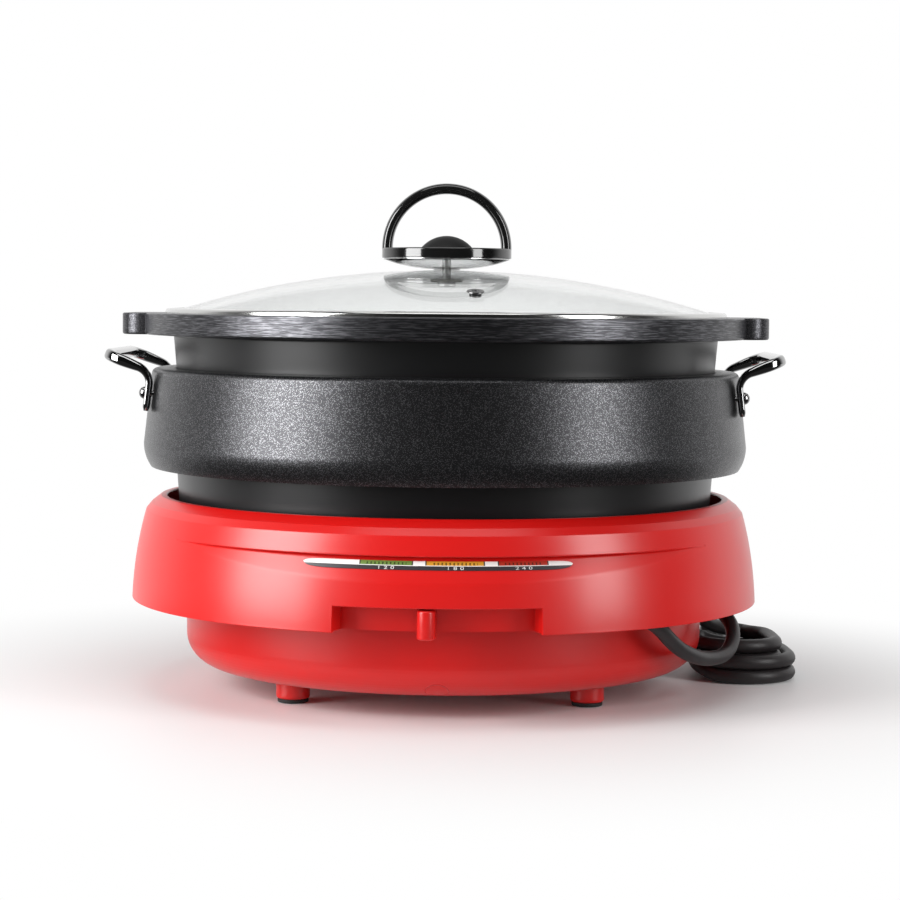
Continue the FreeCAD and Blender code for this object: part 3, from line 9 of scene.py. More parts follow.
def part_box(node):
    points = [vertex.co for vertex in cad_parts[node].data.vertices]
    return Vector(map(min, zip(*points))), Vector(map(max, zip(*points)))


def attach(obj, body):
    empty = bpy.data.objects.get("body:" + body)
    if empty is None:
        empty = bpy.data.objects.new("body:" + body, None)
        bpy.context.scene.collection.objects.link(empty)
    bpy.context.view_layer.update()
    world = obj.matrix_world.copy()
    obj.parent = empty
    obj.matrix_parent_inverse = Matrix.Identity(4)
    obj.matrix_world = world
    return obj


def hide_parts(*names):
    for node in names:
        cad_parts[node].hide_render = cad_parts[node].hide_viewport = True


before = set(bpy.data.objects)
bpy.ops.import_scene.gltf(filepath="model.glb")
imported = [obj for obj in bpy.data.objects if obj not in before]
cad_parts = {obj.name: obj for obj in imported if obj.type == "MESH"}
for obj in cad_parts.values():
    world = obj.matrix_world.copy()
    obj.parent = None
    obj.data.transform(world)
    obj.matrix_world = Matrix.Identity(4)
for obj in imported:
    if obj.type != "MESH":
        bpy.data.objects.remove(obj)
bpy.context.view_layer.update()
scene = bpy.context.scene
MM = 0.001

# The electric hot pot's looks. Metres; the origin is on the floor at the pots' axis, +Z up, the
# front is -Y. A profile's points are (radius, height) in millimetres; an angle round the pot is
# counted from the front towards +X.

# --- shapes: outlines, turned surfaces, sweeps -------------------------------------------------

# How far from a run's end its shading is held flat, and the most of a run that one bend may take.
HOLD = 0.35
BEND_SHARE = 0.48


def held(line, closed):
    """Adds two points to every long run of an outline, a hold's length from its ends."""
    starts = line if closed else line[:-1]
    ends = np.roll(line, -1, axis=0) if closed else line[1:]
    way = ends - starts
    length = np.linalg.norm(way, axis=1, keepdims=True)
    shift = way / np.maximum(length, 1e-9) * HOLD
    trio = np.stack([starts, starts + shift, ends - shift], axis=1)
    is_long = length[:, 0] > HOLD * 4
    keep = np.stack([np.ones_like(is_long), is_long, is_long], axis=1)
    points = trio[keep]
    return points if closed else np.vstack([points, line[-1:]])


def bend_arc(before, corner, after, bend, steps):
    """The arc of radius bend that touches both runs at a corner: centre + start turned by t."""
    back = before - corner
    on = after - corner
    back_length, on_length = np.linalg.norm(back), np.linalg.norm(on)
    back, on = back / back_length, on / on_length
    half = math.acos(float(np.clip(back @ on, -1, 1))) / 2
    bend = min(bend, BEND_SHARE * min(back_length, on_length) * math.tan(half))
    middle = (back + on) / np.linalg.norm(back + on)
    centre = corner + middle * bend / math.sin(half)
    start = corner + back * bend / math.tan(half) - centre
    end = corner + on * bend / math.tan(half) - centre
    turn = math.atan2(start[0] * end[1] - start[1] * end[0], start @ end)
    t = np.linspace(0, turn, steps + 1)[:, None]
    side = np.array([-start[1], start[0]])
    return centre + start * np.cos(t) + side * np.sin(t)


def rounded(corners, closed=True, steps=5):
    """An outline through corners (x, y) or (x, y, bend), where a bend rounds the corner off."""
    points = [np.array(corner[:2], float) for corner in corners]
    line = []
    for i, corner in enumerate(corners):
        inside = closed or 0 < i < len(corners) - 1
        if len(corner) == 3 and inside:
            after = points[(i + 1) % len(points)]
            line.append(bend_arc(points[i - 1], points[i], after, corner[2], steps))
        else:
            line.append(points[i][None])
    return held(np.vstack(line), closed)


def arc_run(start, end, radius, steps):
    """Points from start to end on a circle; a positive radius has its centre on the left."""
    start, end = np.array(start, float), np.array(end, float)
    way = end - start
    left = np.array([-way[1], way[0]]) / np.linalg.norm(way)
    reach = math.sqrt(radius * radius - way @ way / 4)
    centre = (start + end) / 2 + left * math.copysign(reach, radius)
    a = start - centre
    b = end - centre
    turn = math.atan2(a[0] * b[1] - a[1] * b[0], a @ b)
    t = np.linspace(0, turn, steps + 1)[:, None]
    return centre + a * np.cos(t) + np.array([-a[1], a[0]]) * np.sin(t)


def turned(profile, steps=240):
    """A surface of revolution: point(a, k) = (r_k sin a, -r_k cos a, z_k), a all the way round."""
    angles = np.linspace(-np.pi, np.pi, steps, endpoint=False)
    return revolved(angles, np.broadcast_to(profile, (steps,) + profile.shape))


def revolved(angles, profiles):
    """As turned, with a profile of its own at each angle: profiles is (angles, points, 2)."""
    radius, height = profiles[..., 0], profiles[..., 1]
    turn = angles[:, None]
    return np.stack([radius * np.sin(turn), -radius * np.cos(turn), height], axis=-1) * MM


def placed(grid, matrix):
    """A grid carried to another frame: rotation times point, plus place."""
    turn = np.array(matrix.to_3x3())
    return grid @ turn.T + np.array(matrix.translation)


def at_corners(grid, offset):
    """Four copies of a grid, at plus and minus the offset across and back."""
    return [grid + np.array([x * offset, y * offset, 0]) * MM for x in (1, -1) for y in (1, -1)]


def eased(share):
    """A share from 0 to 1 that starts and ends slowly: 3 s^2 - 2 s^3."""
    share = np.clip(share, 0, 1)
    return share * share * (3 - 2 * share)


def soft_levels(bottom, top, edge):
    """Levels (height, inset) for stacked, with both edges rounded off in three points."""
    soft = [(0.0, edge), (edge * 0.3125, edge * 0.3125), (edge, 0.0)]
    low = [(bottom + rise, inset) for rise, inset in soft]
    high = [(top - rise, inset) for rise, inset in soft[::-1]]
    return low + high


def stacked(outline, levels, middle):
    """A closed solid from one level outline: point(k, i) = outline_i - inset_k normal_i at height
    z_k, closed at both ends on the middle. Levels are (height, inset)."""
    way = np.roll(outline, -1, axis=0) - np.roll(outline, 1, axis=0)
    normal = np.stack([way[:, 1], -way[:, 0]], axis=1)
    normal = normal / np.linalg.norm(normal, axis=1, keepdims=True)
    levels = np.array(levels, float)
    flat = outline[None] - levels[:, 1, None, None] * normal[None]
    height = np.broadcast_to(levels[:, 0, None, None], flat.shape[:2] + (1,))
    body = np.concatenate([flat, height], axis=-1)
    caps = [np.broadcast_to(np.array([*middle, levels[k, 0]]), (1,) + body.shape[1:]) for k in (0, -1)]
    return np.concatenate([caps[0], body, caps[1]]) * MM


def swept(centres, thick_ways, wide_ways, half_thick, half_wide, power, around):
    """A bar along a path: point(s, t) = centre + wide |cos t|^(2/power) + thick |sin t|^(2/power),
    each with its sine's or cosine's sign, closed at both ends on the path."""
    t = np.linspace(0, 2 * np.pi, around, endpoint=False)
    wide = np.sign(np.cos(t)) * np.abs(np.cos(t)) ** (2 / power)
    thick = np.sign(np.sin(t)) * np.abs(np.sin(t)) ** (2 / power)
    grid = (centres[:, None]
            + wide_ways[:, None] * (half_wide[:, None] * wide)[..., None]
            + thick_ways[:, None] * (half_thick[:, None] * thick)[..., None])
    ends = [np.broadcast_to(centres[k], (1, around, 3)) for k in (0, -1)]
    return np.concatenate([ends[0], grid, ends[1]])


def grid_quads(shape, first, round_rows, round_columns):
    """The corner numbers of the quads between neighbouring points of a grid."""
    index = first + np.arange(shape[0] * shape[1]).reshape(shape[:2])
    if round_rows:
        index = np.vstack([index, index[:1]])
    if round_columns:
        index = np.hstack([index, index[:, :1]])
    corners = [index[:-1, :-1], index[1:, :-1], index[1:, 1:], index[:-1, 1:]]
    return np.stack(corners, axis=-1)


def piece(name, grids, finish, body, replaces=(), sharp=35, drop=None):
    """A mesh from grids (points, round in rows, round in columns), with doubles merged, faces
    outwards and edges sharper than the angle kept sharp. drop(middles) says which faces go."""
    points = np.vstack([grid.reshape(-1, 3) for grid, _, _ in grids])
    quads, first = [], 0
    for grid, round_rows, round_columns in grids:
        quads.append(grid_quads(grid.shape, first, round_rows, round_columns).reshape(-1, 4))
        first += grid.shape[0] * grid.shape[1]
    quads = np.vstack(quads)
    if drop is not None:
        quads = quads[~drop(points[quads].mean(axis=1) / MM)]
    mesh = bpy.data.meshes.new(name)
    mesh.from_pydata(points.tolist(), [], quads.tolist())
    sheet = bmesh.new()
    sheet.from_mesh(mesh)
    bmesh.ops.remove_doubles(sheet, verts=sheet.verts, dist=2e-6)
    bmesh.ops.dissolve_degenerate(sheet, edges=sheet.edges, dist=1e-6)
    bmesh.ops.recalc_face_normals(sheet, faces=sheet.faces)
    sheet.to_mesh(mesh)
    sheet.free()
    mesh.shade_smooth()
    mesh.set_sharp_from_angle(angle=math.radians(sharp))
    return finished(bpy.data.objects.new(name, mesh), finish, body, replaces)


def spun(name, profile, finish, body, replaces=(), steps=240, ring=False, sharp=35):
    """A piece of one turned profile; a ring's profile is closed and keeps off the axis."""
    return piece(name, [(turned(profile, steps), True, ring)], finish, body, replaces, sharp)


def finished(thing, finish, body, replaces=()):
    """Links a piece, gives it its finish and lets it ride on its body."""
    scene.collection.objects.link(thing)
    thing.data.materials.append(finish)
    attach(thing, body)
    if replaces:
        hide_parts(*replaces)
    return thing


def frame_at(place, forward):
    """A frame at a place in millimetres whose Z axis runs along forward."""
    turn = Vector((0, 0, 1)).rotation_difference(Vector(forward).normalized())
    return Matrix.Translation(Vector(place) * MM) @ turn.to_matrix().to_4x4()


# --- nodes: a small hand for building materials ------------------------------------------------


class Tree:
    """Adds nodes to a material's or a group's tree; an input is a socket or a plain value."""

    def __init__(self, tree):
        self.tree = tree

    def add(self, kind, inputs=None, **settings):
        node = self.tree.nodes.new(kind)
        for key, value in settings.items():
            setattr(node, key, value)
        for key, value in (inputs or {}).items():
            if isinstance(value, bpy.types.NodeSocket):
                self.tree.links.new(value, node.inputs[key])
            else:
                node.inputs[key].default_value = value
        return node

    def link(self, value, socket):
        self.tree.links.new(value, socket)

    def math(self, operation, a, b=0.0, c=0.0):
        return self.add("ShaderNodeMath", {0: a, 1: b, 2: c}, operation=operation).outputs[0]

    def vector(self, operation, inputs, output):
        return self.add("ShaderNodeVectorMath", inputs, operation=operation).outputs[output]

    def stretch(self, value, low, high, new_low=0.0, new_high=1.0, smooth=False):
        kind = "SMOOTHSTEP" if smooth else "LINEAR"
        inputs = {"Value": value, "From Min": low, "From Max": high, "To Min": new_low, "To Max": new_high}
        return self.add("ShaderNodeMapRange", inputs, interpolation_type=kind).outputs["Result"]

    def blend(self, factor, a, b):
        """Colour a where the factor is 0 and colour b where it is 1."""
        return self.add("ShaderNodeMix", {0: factor, 6: a, 7: b}, data_type="RGBA").outputs[2]

    def spot(self):
        """The point on the surface, as the object's own coordinates."""
        return self.add("ShaderNodeTexCoord").outputs["Object"]

    def parts(self, vector):
        """The x, y and z of a vector."""
        return self.add("ShaderNodeSeparateXYZ", {0: vector}).outputs

    def noise(self, vector, scale, detail=2.0, roughness=0.5):
        inputs = {"Vector": vector, "Scale": scale, "Detail": detail, "Roughness": roughness}
        return self.add("ShaderNodeTexNoise", inputs).outputs["Fac"]

    def bump(self, height, strength, distance, normal=None):
        inputs = {"Height": height, "Strength": strength, "Distance": distance}
        if normal is not None:
            inputs["Normal"] = normal
        return self.add("ShaderNodeBump", inputs).outputs["Normal"]

    def group(self, group, inputs):
        """Places a shared effect and returns its one output."""
        return self.add("ShaderNodeGroup", inputs, node_tree=group).outputs[0]


def effect(name, inputs, output):
    """An empty shared effect: its tree, its input sockets by name, and its output node."""
    group = bpy.data.node_groups.new(name, "ShaderNodeTree")
    for key, value in inputs.items():
        socket = group.interface.new_socket(name=key, in_out="INPUT", socket_type="NodeSocketFloat")
        socket.default_value = value
    group.interface.new_socket(name=output, in_out="OUTPUT", socket_type="NodeSocketFloat")
    tree = Tree(group)
    return group, tree, tree.add("NodeGroupInput").outputs, tree.add("NodeGroupOutput").inputs


def make_fine_grain():
    """Height of a moulded or cast skin: two noises, one four times as fine as the other."""
    group, tree, given, out = effect("fine_grain", {"Scale": 400.0}, "Height")
    spot = tree.spot()
    coarse = tree.noise(spot, given["Scale"])
    fine = tree.noise(spot, tree.math("MULTIPLY", given["Scale"], 4.0))
    tree.link(tree.math("MULTIPLY_ADD", fine, 0.4, coarse), out["Height"])
    return group


def make_handled():
    """Roughness of a handled surface: soft patches between a low and a high value."""
    group, tree, given, out = effect("handled", {"Scale": 18.0, "Low": 0.2, "High": 0.3}, "Roughness")
    patches = tree.noise(tree.spot(), given["Scale"], 4.0, 0.6)
    share = tree.stretch(patches, 0.15, 0.85, smooth=True)
    span = tree.math("SUBTRACT", given["High"], given["Low"])
    tree.link(tree.math("MULTIPLY_ADD", share, span, given["Low"]), out["Roughness"])
    return group


def make_turned_lines():
    """Lathe lines round the upright axis: a noise of radius and height, hardly of the angle."""
    group, tree, given, out = effect("turned_lines", {"Scale": 900.0, "Drift": 0.02}, "Lines")
    spot = tree.spot()
    x, y, z = tree.parts(spot)
    radius = tree.math("SQRT", tree.math("MULTIPLY_ADD", x, x, tree.math("MULTIPLY", y, y)))
    drift = tree.vector("SCALE", {0: spot, 3: given["Drift"]}, 0)
    level = tree.add("ShaderNodeCombineXYZ", {0: radius, 2: z}).outputs[0]
    place = tree.vector("ADD", {0: level, 1: drift}, 0)
    tree.link(tree.noise(place, given["Scale"], 3.0, 0.65), out["Lines"])
    return group


def make_flecks():
    """A mask of small bright flecks: the hearts of random cells, thinned by their own value."""
    group, tree, given, out = effect("flecks", {"Scale": 1400.0, "Size": 0.3, "Share": 0.4}, "Mask")
    cells = tree.add("ShaderNodeTexVoronoi", {"Vector": tree.spot(), "Scale": given["Scale"]})
    near = tree.math("LESS_THAN", cells.outputs["Distance"], given["Size"])
    value = tree.add("ShaderNodeSeparateColor", {0: cells.outputs["Color"]}).outputs[0]
    kept = tree.math("LESS_THAN", value, given["Share"])
    tree.link(tree.math("MULTIPLY", near, kept), out["Mask"])
    return group


FINE_GRAIN = make_fine_grain()
HANDLED = make_handled()
TURNED_LINES = make_turned_lines()
FLECKS = make_flecks()


def new_finish(name, **plain):
    """A material with one Principled shader; plain values go on the shader's own sockets."""
    material = bpy.data.materials.new(name)
    material.use_nodes = True
    shader = material.node_tree.nodes["Principled BSDF"]
    for key, value in plain.items():
        socket = shader.inputs[key.replace("_", " ")]
        socket.default_value = value
    return material, Tree(material.node_tree), shader


def feed(tree, shader, **sockets):
    """Links values to the shader's sockets by name."""
    for key, value in sockets.items():
        tree.link(value, shader.inputs[key.replace("_", " ")])


# --- finishes ----------------------------------------------------------------------------------

RED = (0.60, 0.0055, 0.0042, 1)
RED_DEEP = (0.56, 0.0046, 0.0036, 1)
# The radius of the ring moulded into the bowl's foot line, in millimetres.
MARK_RADIUS = 6.3


def red_plastic(name, mark=None):
    """Glossy red moulded plastic; mark is the middle of a moulded ring, in millimetres."""
    material, tree, shader = new_finish(name, IOR=1.5, Specular_IOR_Level=0.62)
    spot = tree.spot()
    tone = tree.noise(spot, 9.0, 2.0)
    rough = tree.group(HANDLED, {"Scale": 14.0, "Low": 0.27, "High": 0.33})
    grain = tree.group(FINE_GRAIN, {"Scale": 260.0})
    normal = tree.bump(grain, 0.05, 0.0002)
    if mark is not None:
        middle = tuple(value * MM for value in mark)
        away = tree.vector("DISTANCE", {0: spot, 1: middle}, "Value")
        line = tree.stretch(tree.math("ABSOLUTE", tree.math("SUBTRACT", away, MARK_RADIUS * MM)),
                            0.0, 0.0005, 1.0, 0.0, smooth=True)
        normal = tree.bump(line, 1.0, 0.0004, normal)
    feed(tree, shader, Base_Color=tree.blend(tone, RED_DEEP, RED), Roughness=rough, Normal=normal)
    return material


def speckled_coating():
    """Dark metallic paint with fine bright flecks that show where light strikes the ring."""
    material, tree, shader = new_finish("speckled_coating", Metallic=0.88)
    flecks = tree.group(FLECKS, {"Scale": 2400.0, "Size": 0.45, "Share": 0.4})
    grain = tree.group(FINE_GRAIN, {"Scale": 1300.0})
    rough = tree.group(HANDLED, {"Scale": 20.0, "Low": 0.29, "High": 0.33})
    colour = tree.blend(flecks, (0.045, 0.045, 0.048, 1), (0.21, 0.21, 0.22, 1))
    feed(tree, shader, Base_Color=colour, Roughness=rough, Normal=tree.bump(grain, 0.6, 0.00012))
    return material


def satin_coating():
    """Plain black non-stick coating over fine lathe lines, for the pot."""
    material, tree, shader = new_finish("satin_coating", IOR=1.5)
    lines = tree.group(TURNED_LINES, {"Scale": 1500.0, "Drift": 0.03})
    rough = tree.group(HANDLED, {"Scale": 16.0, "Low": 0.30, "High": 0.37})
    colour = tree.blend(lines, (0.006, 0.006, 0.0065, 1), (0.012, 0.012, 0.013, 1))
    feed(tree, shader, Base_Color=colour, Roughness=rough, Normal=tree.bump(lines, 0.10, 0.0001))
    return material


def machined_coating():
    """Satin black walls, and a flange turned to dark bare metal with finer bright streaks."""
    material, tree, shader = new_finish("machined_coating", IOR=1.5)
    height = tree.parts(tree.spot())[2]
    flange = tree.stretch(height, (FLANGE_BOTTOM - 0.5) * MM, (FLANGE_BOTTOM + 0.3) * MM)
    lines = tree.group(TURNED_LINES, {"Scale": 2100.0, "Drift": 0.05})
    streak = tree.stretch(lines, 0.44, 0.66, smooth=True)
    bare = tree.blend(streak, (0.042, 0.042, 0.046, 1), (0.16, 0.16, 0.172, 1))
    colour = tree.blend(flange, (0.008, 0.008, 0.0085, 1), bare)
    metal = tree.math("MULTIPLY", flange, 0.92)
    rough = tree.stretch(flange, 0.0, 1.0, 0.34, 0.33)
    feed(tree, shader, Base_Color=colour, Metallic=metal, Roughness=rough,
         Normal=tree.bump(tree.math("MULTIPLY", lines, flange), 0.25, 0.0002))
    return material


def polished_steel(name, colour, low, high, lines_strength=0.0):
    """Bright metal with faint handling marks and, on turned pieces, faint lines."""
    material, tree, shader = new_finish(name, Metallic=1.0, Base_Color=colour)
    rough = tree.group(HANDLED, {"Scale": 30.0, "Low": low, "High": high})
    feed(tree, shader, Roughness=rough)
    if lines_strength:
        lines = tree.group(TURNED_LINES, {"Scale": 2500.0, "Drift": 0.02})
        feed(tree, shader, Normal=tree.bump(lines, lines_strength, 0.00006))
    else:
        grain = tree.group(FINE_GRAIN, {"Scale": 120.0})
        feed(tree, shader, Normal=tree.bump(grain, 0.04, 0.0001))
    return material


def plain_plastic(name, colour, low, high, scale=500.0, strength=0.15, shine=0.5):
    """Moulded plastic, rubber or ceramic of one colour, with a fine grain and patchy gloss."""
    material, tree, shader = new_finish(name, IOR=1.5, Specular_IOR_Level=shine)
    tone = tree.stretch(tree.noise(tree.spot(), 40.0, 3.0), 0.3, 0.7)
    darker = tuple(value * 0.8 for value in colour[:3]) + (1,)
    rough = tree.group(HANDLED, {"Scale": 35.0, "Low": low, "High": high})
    grain = tree.group(FINE_GRAIN, {"Scale": scale})
    feed(tree, shader, Base_Color=tree.blend(tone, darker, colour), Roughness=rough,
         Normal=tree.bump(grain, strength, 0.0002))
    return material


def clear_finish(name, ior, colour):
    """Clear glass or plastic with the slightest wave."""
    material, tree, shader = new_finish(name, IOR=ior, Transmission_Weight=1.0, Base_Color=colour)
    wave = tree.noise(tree.spot(), 22.0, 1.0)
    rough = tree.group(HANDLED, {"Scale": 25.0, "Low": 0.0, "High": 0.02})
    feed(tree, shader, Roughness=rough, Normal=tree.bump(wave, 0.03, 0.0005))
    return material


HANDLE_CHROME = polished_steel("handle_chrome", (0.40, 0.40, 0.40, 1), 0.05, 0.1)
KNOB_BLACK = plain_plastic("knob_phenolic", (0.008, 0.008, 0.008, 1), 0.08, 0.12, 300.0, 0.02, 0.95)
PLUG_BLACK = plain_plastic("plug_plastic", (0.016, 0.015, 0.015, 1), 0.3, 0.4)

# --- sizes shared by several pieces, in millimetres --------------------------------------------

lip_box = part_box("upper_guard")
GUARD_BOTTOM = lip_box[0].z / MM
LIP_TOP = lip_box[1].z / MM
GUARD_FOOT_RADIUS = 173.2
SHOULDER = (165.7, 97.0)
CREASE = (162.6, 101.0)
SHOULDER_BEND = 1.2
CREASE_BEND = 0.5
CROWN_START = 94.0
GUARD_CROWN = 210.0
GUARD_WALL = 2.6
LIP_RADIUS = 157.4
LIP_INNER = 154.0
LIP_BEVEL = 0.8
SKIRT_BOTTOM = 83.8
SKIRT_SHELF = CREASE[0] - 6.0
BOSS_OFFSET = 106.914
BOSS_RADIUS = 3.6
BOSS_BORE = 1.7
BOSS_TALL = 11.0
SCOOP_BACK = 10.8
SCOOP_TOP = 87.3
SCOOP_TOP_RADIUS = 174.8
SCOOP_SLOPE = 7.2 / 14.3
SCOOP_SOFT = 0.3
SCOOP_EDGE = 0.45
SCOOP_END = 66.0
NOTCH_HALF = math.radians(17.6)
NOTCH_SIDE = math.radians(1.0)
NOTCH_TOP = 62.0
NOTCH_BACK = 160.0
NOTCH_EDGE = 0.5
FOOT_EDGE = 0.3
HOUSING_BOTTOM = 49.3


# --- the guard: the red shroud -----------------------------------------------------------------


def guard_skin(height):
    """The crowned skin's radius: centre + sqrt(crown^2 - (height - centre height)^2)."""
    foot = np.array([GUARD_FOOT_RADIUS, GUARD_BOTTOM])
    way = np.array(SHOULDER) - foot
    left = np.array([-way[1], way[0]]) / np.linalg.norm(way)
    centre = foot + way / 2 + left * math.sqrt(GUARD_CROWN ** 2 - way @ way / 4)
    return centre[0] + np.sqrt(GUARD_CROWN ** 2 - (height - centre[1]) ** 2)


def scoop_radius(angle, height):
    """The recess's cone about its own axis, seen from the pot's axis."""
    cone = SCOOP_TOP_RADIUS + SCOOP_SLOPE * (SCOOP_TOP - height)
    return np.sqrt(cone ** 2 - (SCOOP_BACK * np.sin(angle)) ** 2) - SCOOP_BACK * np.cos(angle)


def soft_least(a, b, soft):
    """The lesser of two values, with a rounded change from one to the other."""
    share = np.clip(0.5 + 0.5 * (b - a) / soft, 0, 1)
    return b * (1 - share) + a * share - soft * share * (1 - share)


def skin_run(heights, inset=0.0):
    """Points of the plain skin, or of its inner side, at these heights."""
    heights = np.asarray(heights, float)
    return np.stack([guard_skin(heights) - inset, heights], axis=-1)


def guard_foot(kind):
    """The guard's wall below the recess, down its outside, round its lower edge and up its inside.
    Kinds: plain; side, where a wall runs inwards beside the notch; bare, as side without the
    skin's last bit; notch, where ceiling and back wall stand in for the skin."""
    edge, low, steps = NOTCH_EDGE, FOOT_EDGE, 10
    skin_in = guard_skin(HOUSING_BOTTOM) - GUARD_WALL
    corner_out = np.array([guard_skin(HOUSING_BOTTOM), HOUSING_BOTTOM])
    corner_in = np.array([skin_in, HOUSING_BOTTOM])
    deep = np.array([NOTCH_BACK, HOUSING_BOTTOM])
    behind = NOTCH_BACK - GUARD_WALL
    ceiling = NOTCH_TOP + GUARD_WALL
    above = skin_run(np.linspace(SCOOP_END, NOTCH_TOP + edge, 5)[1:])
    if kind == "notch":
        rim = guard_skin(NOTCH_TOP)
        turn = np.array([[rim, NOTCH_TOP + edge], [rim - edge * 0.3, NOTCH_TOP + edge * 0.3],
                         [rim - edge, NOTCH_TOP]])
        outside = np.vstack([turn, np.linspace([rim - edge * 2, NOTCH_TOP], [NOTCH_BACK, NOTCH_TOP],
                                               steps - 3)])
    else:
        outside = skin_run(np.linspace(NOTCH_TOP + edge, HOUSING_BOTTOM, steps))
    if kind == "notch":
        bottom = np.repeat([[NOTCH_BACK, NOTCH_TOP]], 8, axis=0)
        inward = np.linspace([NOTCH_BACK, NOTCH_TOP], deep, steps)
    elif kind == "bare":
        bottom = np.linspace(corner_out, corner_in, 8)
        inward = np.linspace(corner_in, deep, steps)
    else:
        low_out = guard_skin(GUARD_BOTTOM)
        low_in = low_out - GUARD_WALL
        bottom = np.array([[low_out, GUARD_BOTTOM + low], [low_out - low * 0.3, GUARD_BOTTOM + low * 0.3],
                           [low_out - low, GUARD_BOTTOM], [low_in + low, GUARD_BOTTOM],
                           [low_in + low * 0.3, GUARD_BOTTOM + low * 0.3],
                           [low_in, GUARD_BOTTOM + low], [skin_in, HOUSING_BOTTOM - 0.1],
                           corner_in])
        inward = np.linspace(corner_in, deep if kind == "side" else corner_in, steps)
    if kind == "plain":
        back = skin_run(np.linspace(HOUSING_BOTTOM, ceiling, 7), GUARD_WALL)
        roof = np.repeat(back[-1:], 5, axis=0)
    else:
        back = np.linspace([behind, HOUSING_BOTTOM], [behind, ceiling], 7)
        roof = np.linspace([behind, ceiling], [guard_skin(ceiling) - GUARD_WALL, ceiling], 5)
    return np.vstack([above, outside, bottom, inward, back, roof])


def guard_columns():
    """The guard's angles and the kind of foot at each; both edges of a wall share an angle."""
    rim = NOTCH_HALF + NOTCH_SIDE
    inner = np.linspace(0, NOTCH_HALF, 45)
    front = np.linspace(rim, math.radians(60), 90)
    side = np.linspace(math.radians(60), math.pi, 86)[1:]
    angles = np.concatenate([inner, [NOTCH_HALF, NOTCH_HALF, rim], front, side])
    kinds = ["notch"] * len(inner) + ["bare", "side", "side"] + ["plain"] * (len(front) + len(side))
    return np.concatenate([-angles[:0:-1], angles[:-1]]), kinds[:0:-1] + kinds[:-1]


def make_guard():
    """Shroud with the scale's recess under an overhanging edge and the lever's notch. Each column
    is one closed outline: lip, crease, shoulder, skin, recess, foot, inside, and back to the lip."""
    angles, kinds = guard_columns()
    count = len(angles)
    turn = angles[:, None]
    top = rounded([
        (SKIRT_SHELF, SKIRT_BOTTOM),
        (LIP_INNER, SKIRT_BOTTOM),
        (LIP_INNER, LIP_TOP, LIP_BEVEL),
        (LIP_RADIUS, LIP_TOP, LIP_BEVEL),
        (CREASE[0], CREASE[1], CREASE_BEND),
        (SHOULDER[0] - 0.1, SHOULDER[1] + 0.3, SHOULDER_BEND),
        (guard_skin(CROWN_START), CROWN_START),
    ], closed=False)
    skin = skin_run(np.linspace(CROWN_START - 1.0, SCOOP_TOP + 1.2, 6))
    fixed = np.vstack([top, skin])
    head = np.broadcast_to(fixed, (count,) + fixed.shape)

    quarter = np.linspace(0, np.pi / 2, 5)
    rim = guard_skin(SCOOP_TOP)
    floor = soft_least(rim, scoop_radius(turn, SCOOP_TOP), SCOOP_SOFT)
    edge = np.minimum(SCOOP_EDGE, (rim - floor) * 0.45)
    lip_r = rim - edge * (1 - np.cos(quarter))
    lip_z = SCOOP_TOP + edge * (1 - np.sin(quarter))
    cove_r = floor + edge * (1 - np.sin(quarter))
    cove_z = SCOOP_TOP - edge * (1 - np.cos(quarter))
    drop_z = SCOOP_TOP - np.linspace(1.0, SCOOP_TOP - SCOOP_END, 44)[None] + 0 * turn
    drop_r = soft_least(guard_skin(drop_z), scoop_radius(turn, drop_z), SCOOP_SOFT)
    scoop = np.stack([np.hstack([lip_r, cove_r, drop_r]), np.hstack([lip_z, cove_z, drop_z])], axis=-1)

    feet = {kind: guard_foot(kind) for kind in set(kinds)}
    foot = np.stack([feet[kind] for kind in kinds])

    rise_z = np.linspace(SCOOP_END, SCOOP_TOP - GUARD_WALL, 12)[None] + 0 * turn
    rise_r = soft_least(guard_skin(rise_z), scoop_radius(turn, rise_z), SCOOP_SOFT) - GUARD_WALL
    shelf_z = np.full((count, 1), SCOOP_TOP + GUARD_WALL)
    inside = np.stack([np.hstack([rise_r, floor - GUARD_WALL]), np.hstack([rise_z, shelf_z])], axis=-1)
    crown = skin_run(np.linspace(SCOOP_TOP + GUARD_WALL + 0.1, SHOULDER[1] - GUARD_WALL, 4), GUARD_WALL)
    under = np.vstack([crown, [[SKIRT_SHELF, CREASE[1] - GUARD_WALL]]])
    tail = np.broadcast_to(under, (count,) + under.shape)

    shell = revolved(angles, np.concatenate([head, scoop, foot, inside, tail], axis=1))
    boss_top = SKIRT_BOTTOM + BOSS_TALL
    boss = turned(rounded([(BOSS_BORE, SKIRT_BOTTOM), (BOSS_RADIUS, SKIRT_BOTTOM),
                           (BOSS_RADIUS, boss_top), (BOSS_BORE, boss_top)]), 24)
    grids = [(grid, True, True) for grid in [shell] + at_corners(boss, BOSS_OFFSET)]
    return piece("guard_shroud", grids, red_plastic("guard_red"), "base", ["upper_guard"])


# --- the bowl, its feet and the lever's knob ---------------------------------------------------

BOWL_BOTTOM = 12.0
BOWL_RIM = 83.0
BOWL_WALL = 2.5
BOWL_LOW_RADIUS = 143.0
BOWL_TOP_RADIUS = 144.0
BOWL_RIM_RADIUS = 155.8
BOWL_BEND = 25.0
RIM_BOTTOM = BOWL_RIM - BOWL_WALL
FOOT_OFFSET = 78.0
FOOT_RADIUS = 9.0
PAD_RADIUS = 8.2
PAD_TALL = 2.0
SLOT = (47.3, 49.3)
SLOT_HALF = 18.0
SLOT_STEP = 1.5
BLOCK_START, BLOCK_END = math.radians(20.2), math.radians(28.0)
BLOCK_NEAR, BLOCK_FAR = 143.3, 165.3
BLOCK_BOTTOM, BLOCK_TOP = 54.0, 72.0
BLOCK_BEND = 2.0


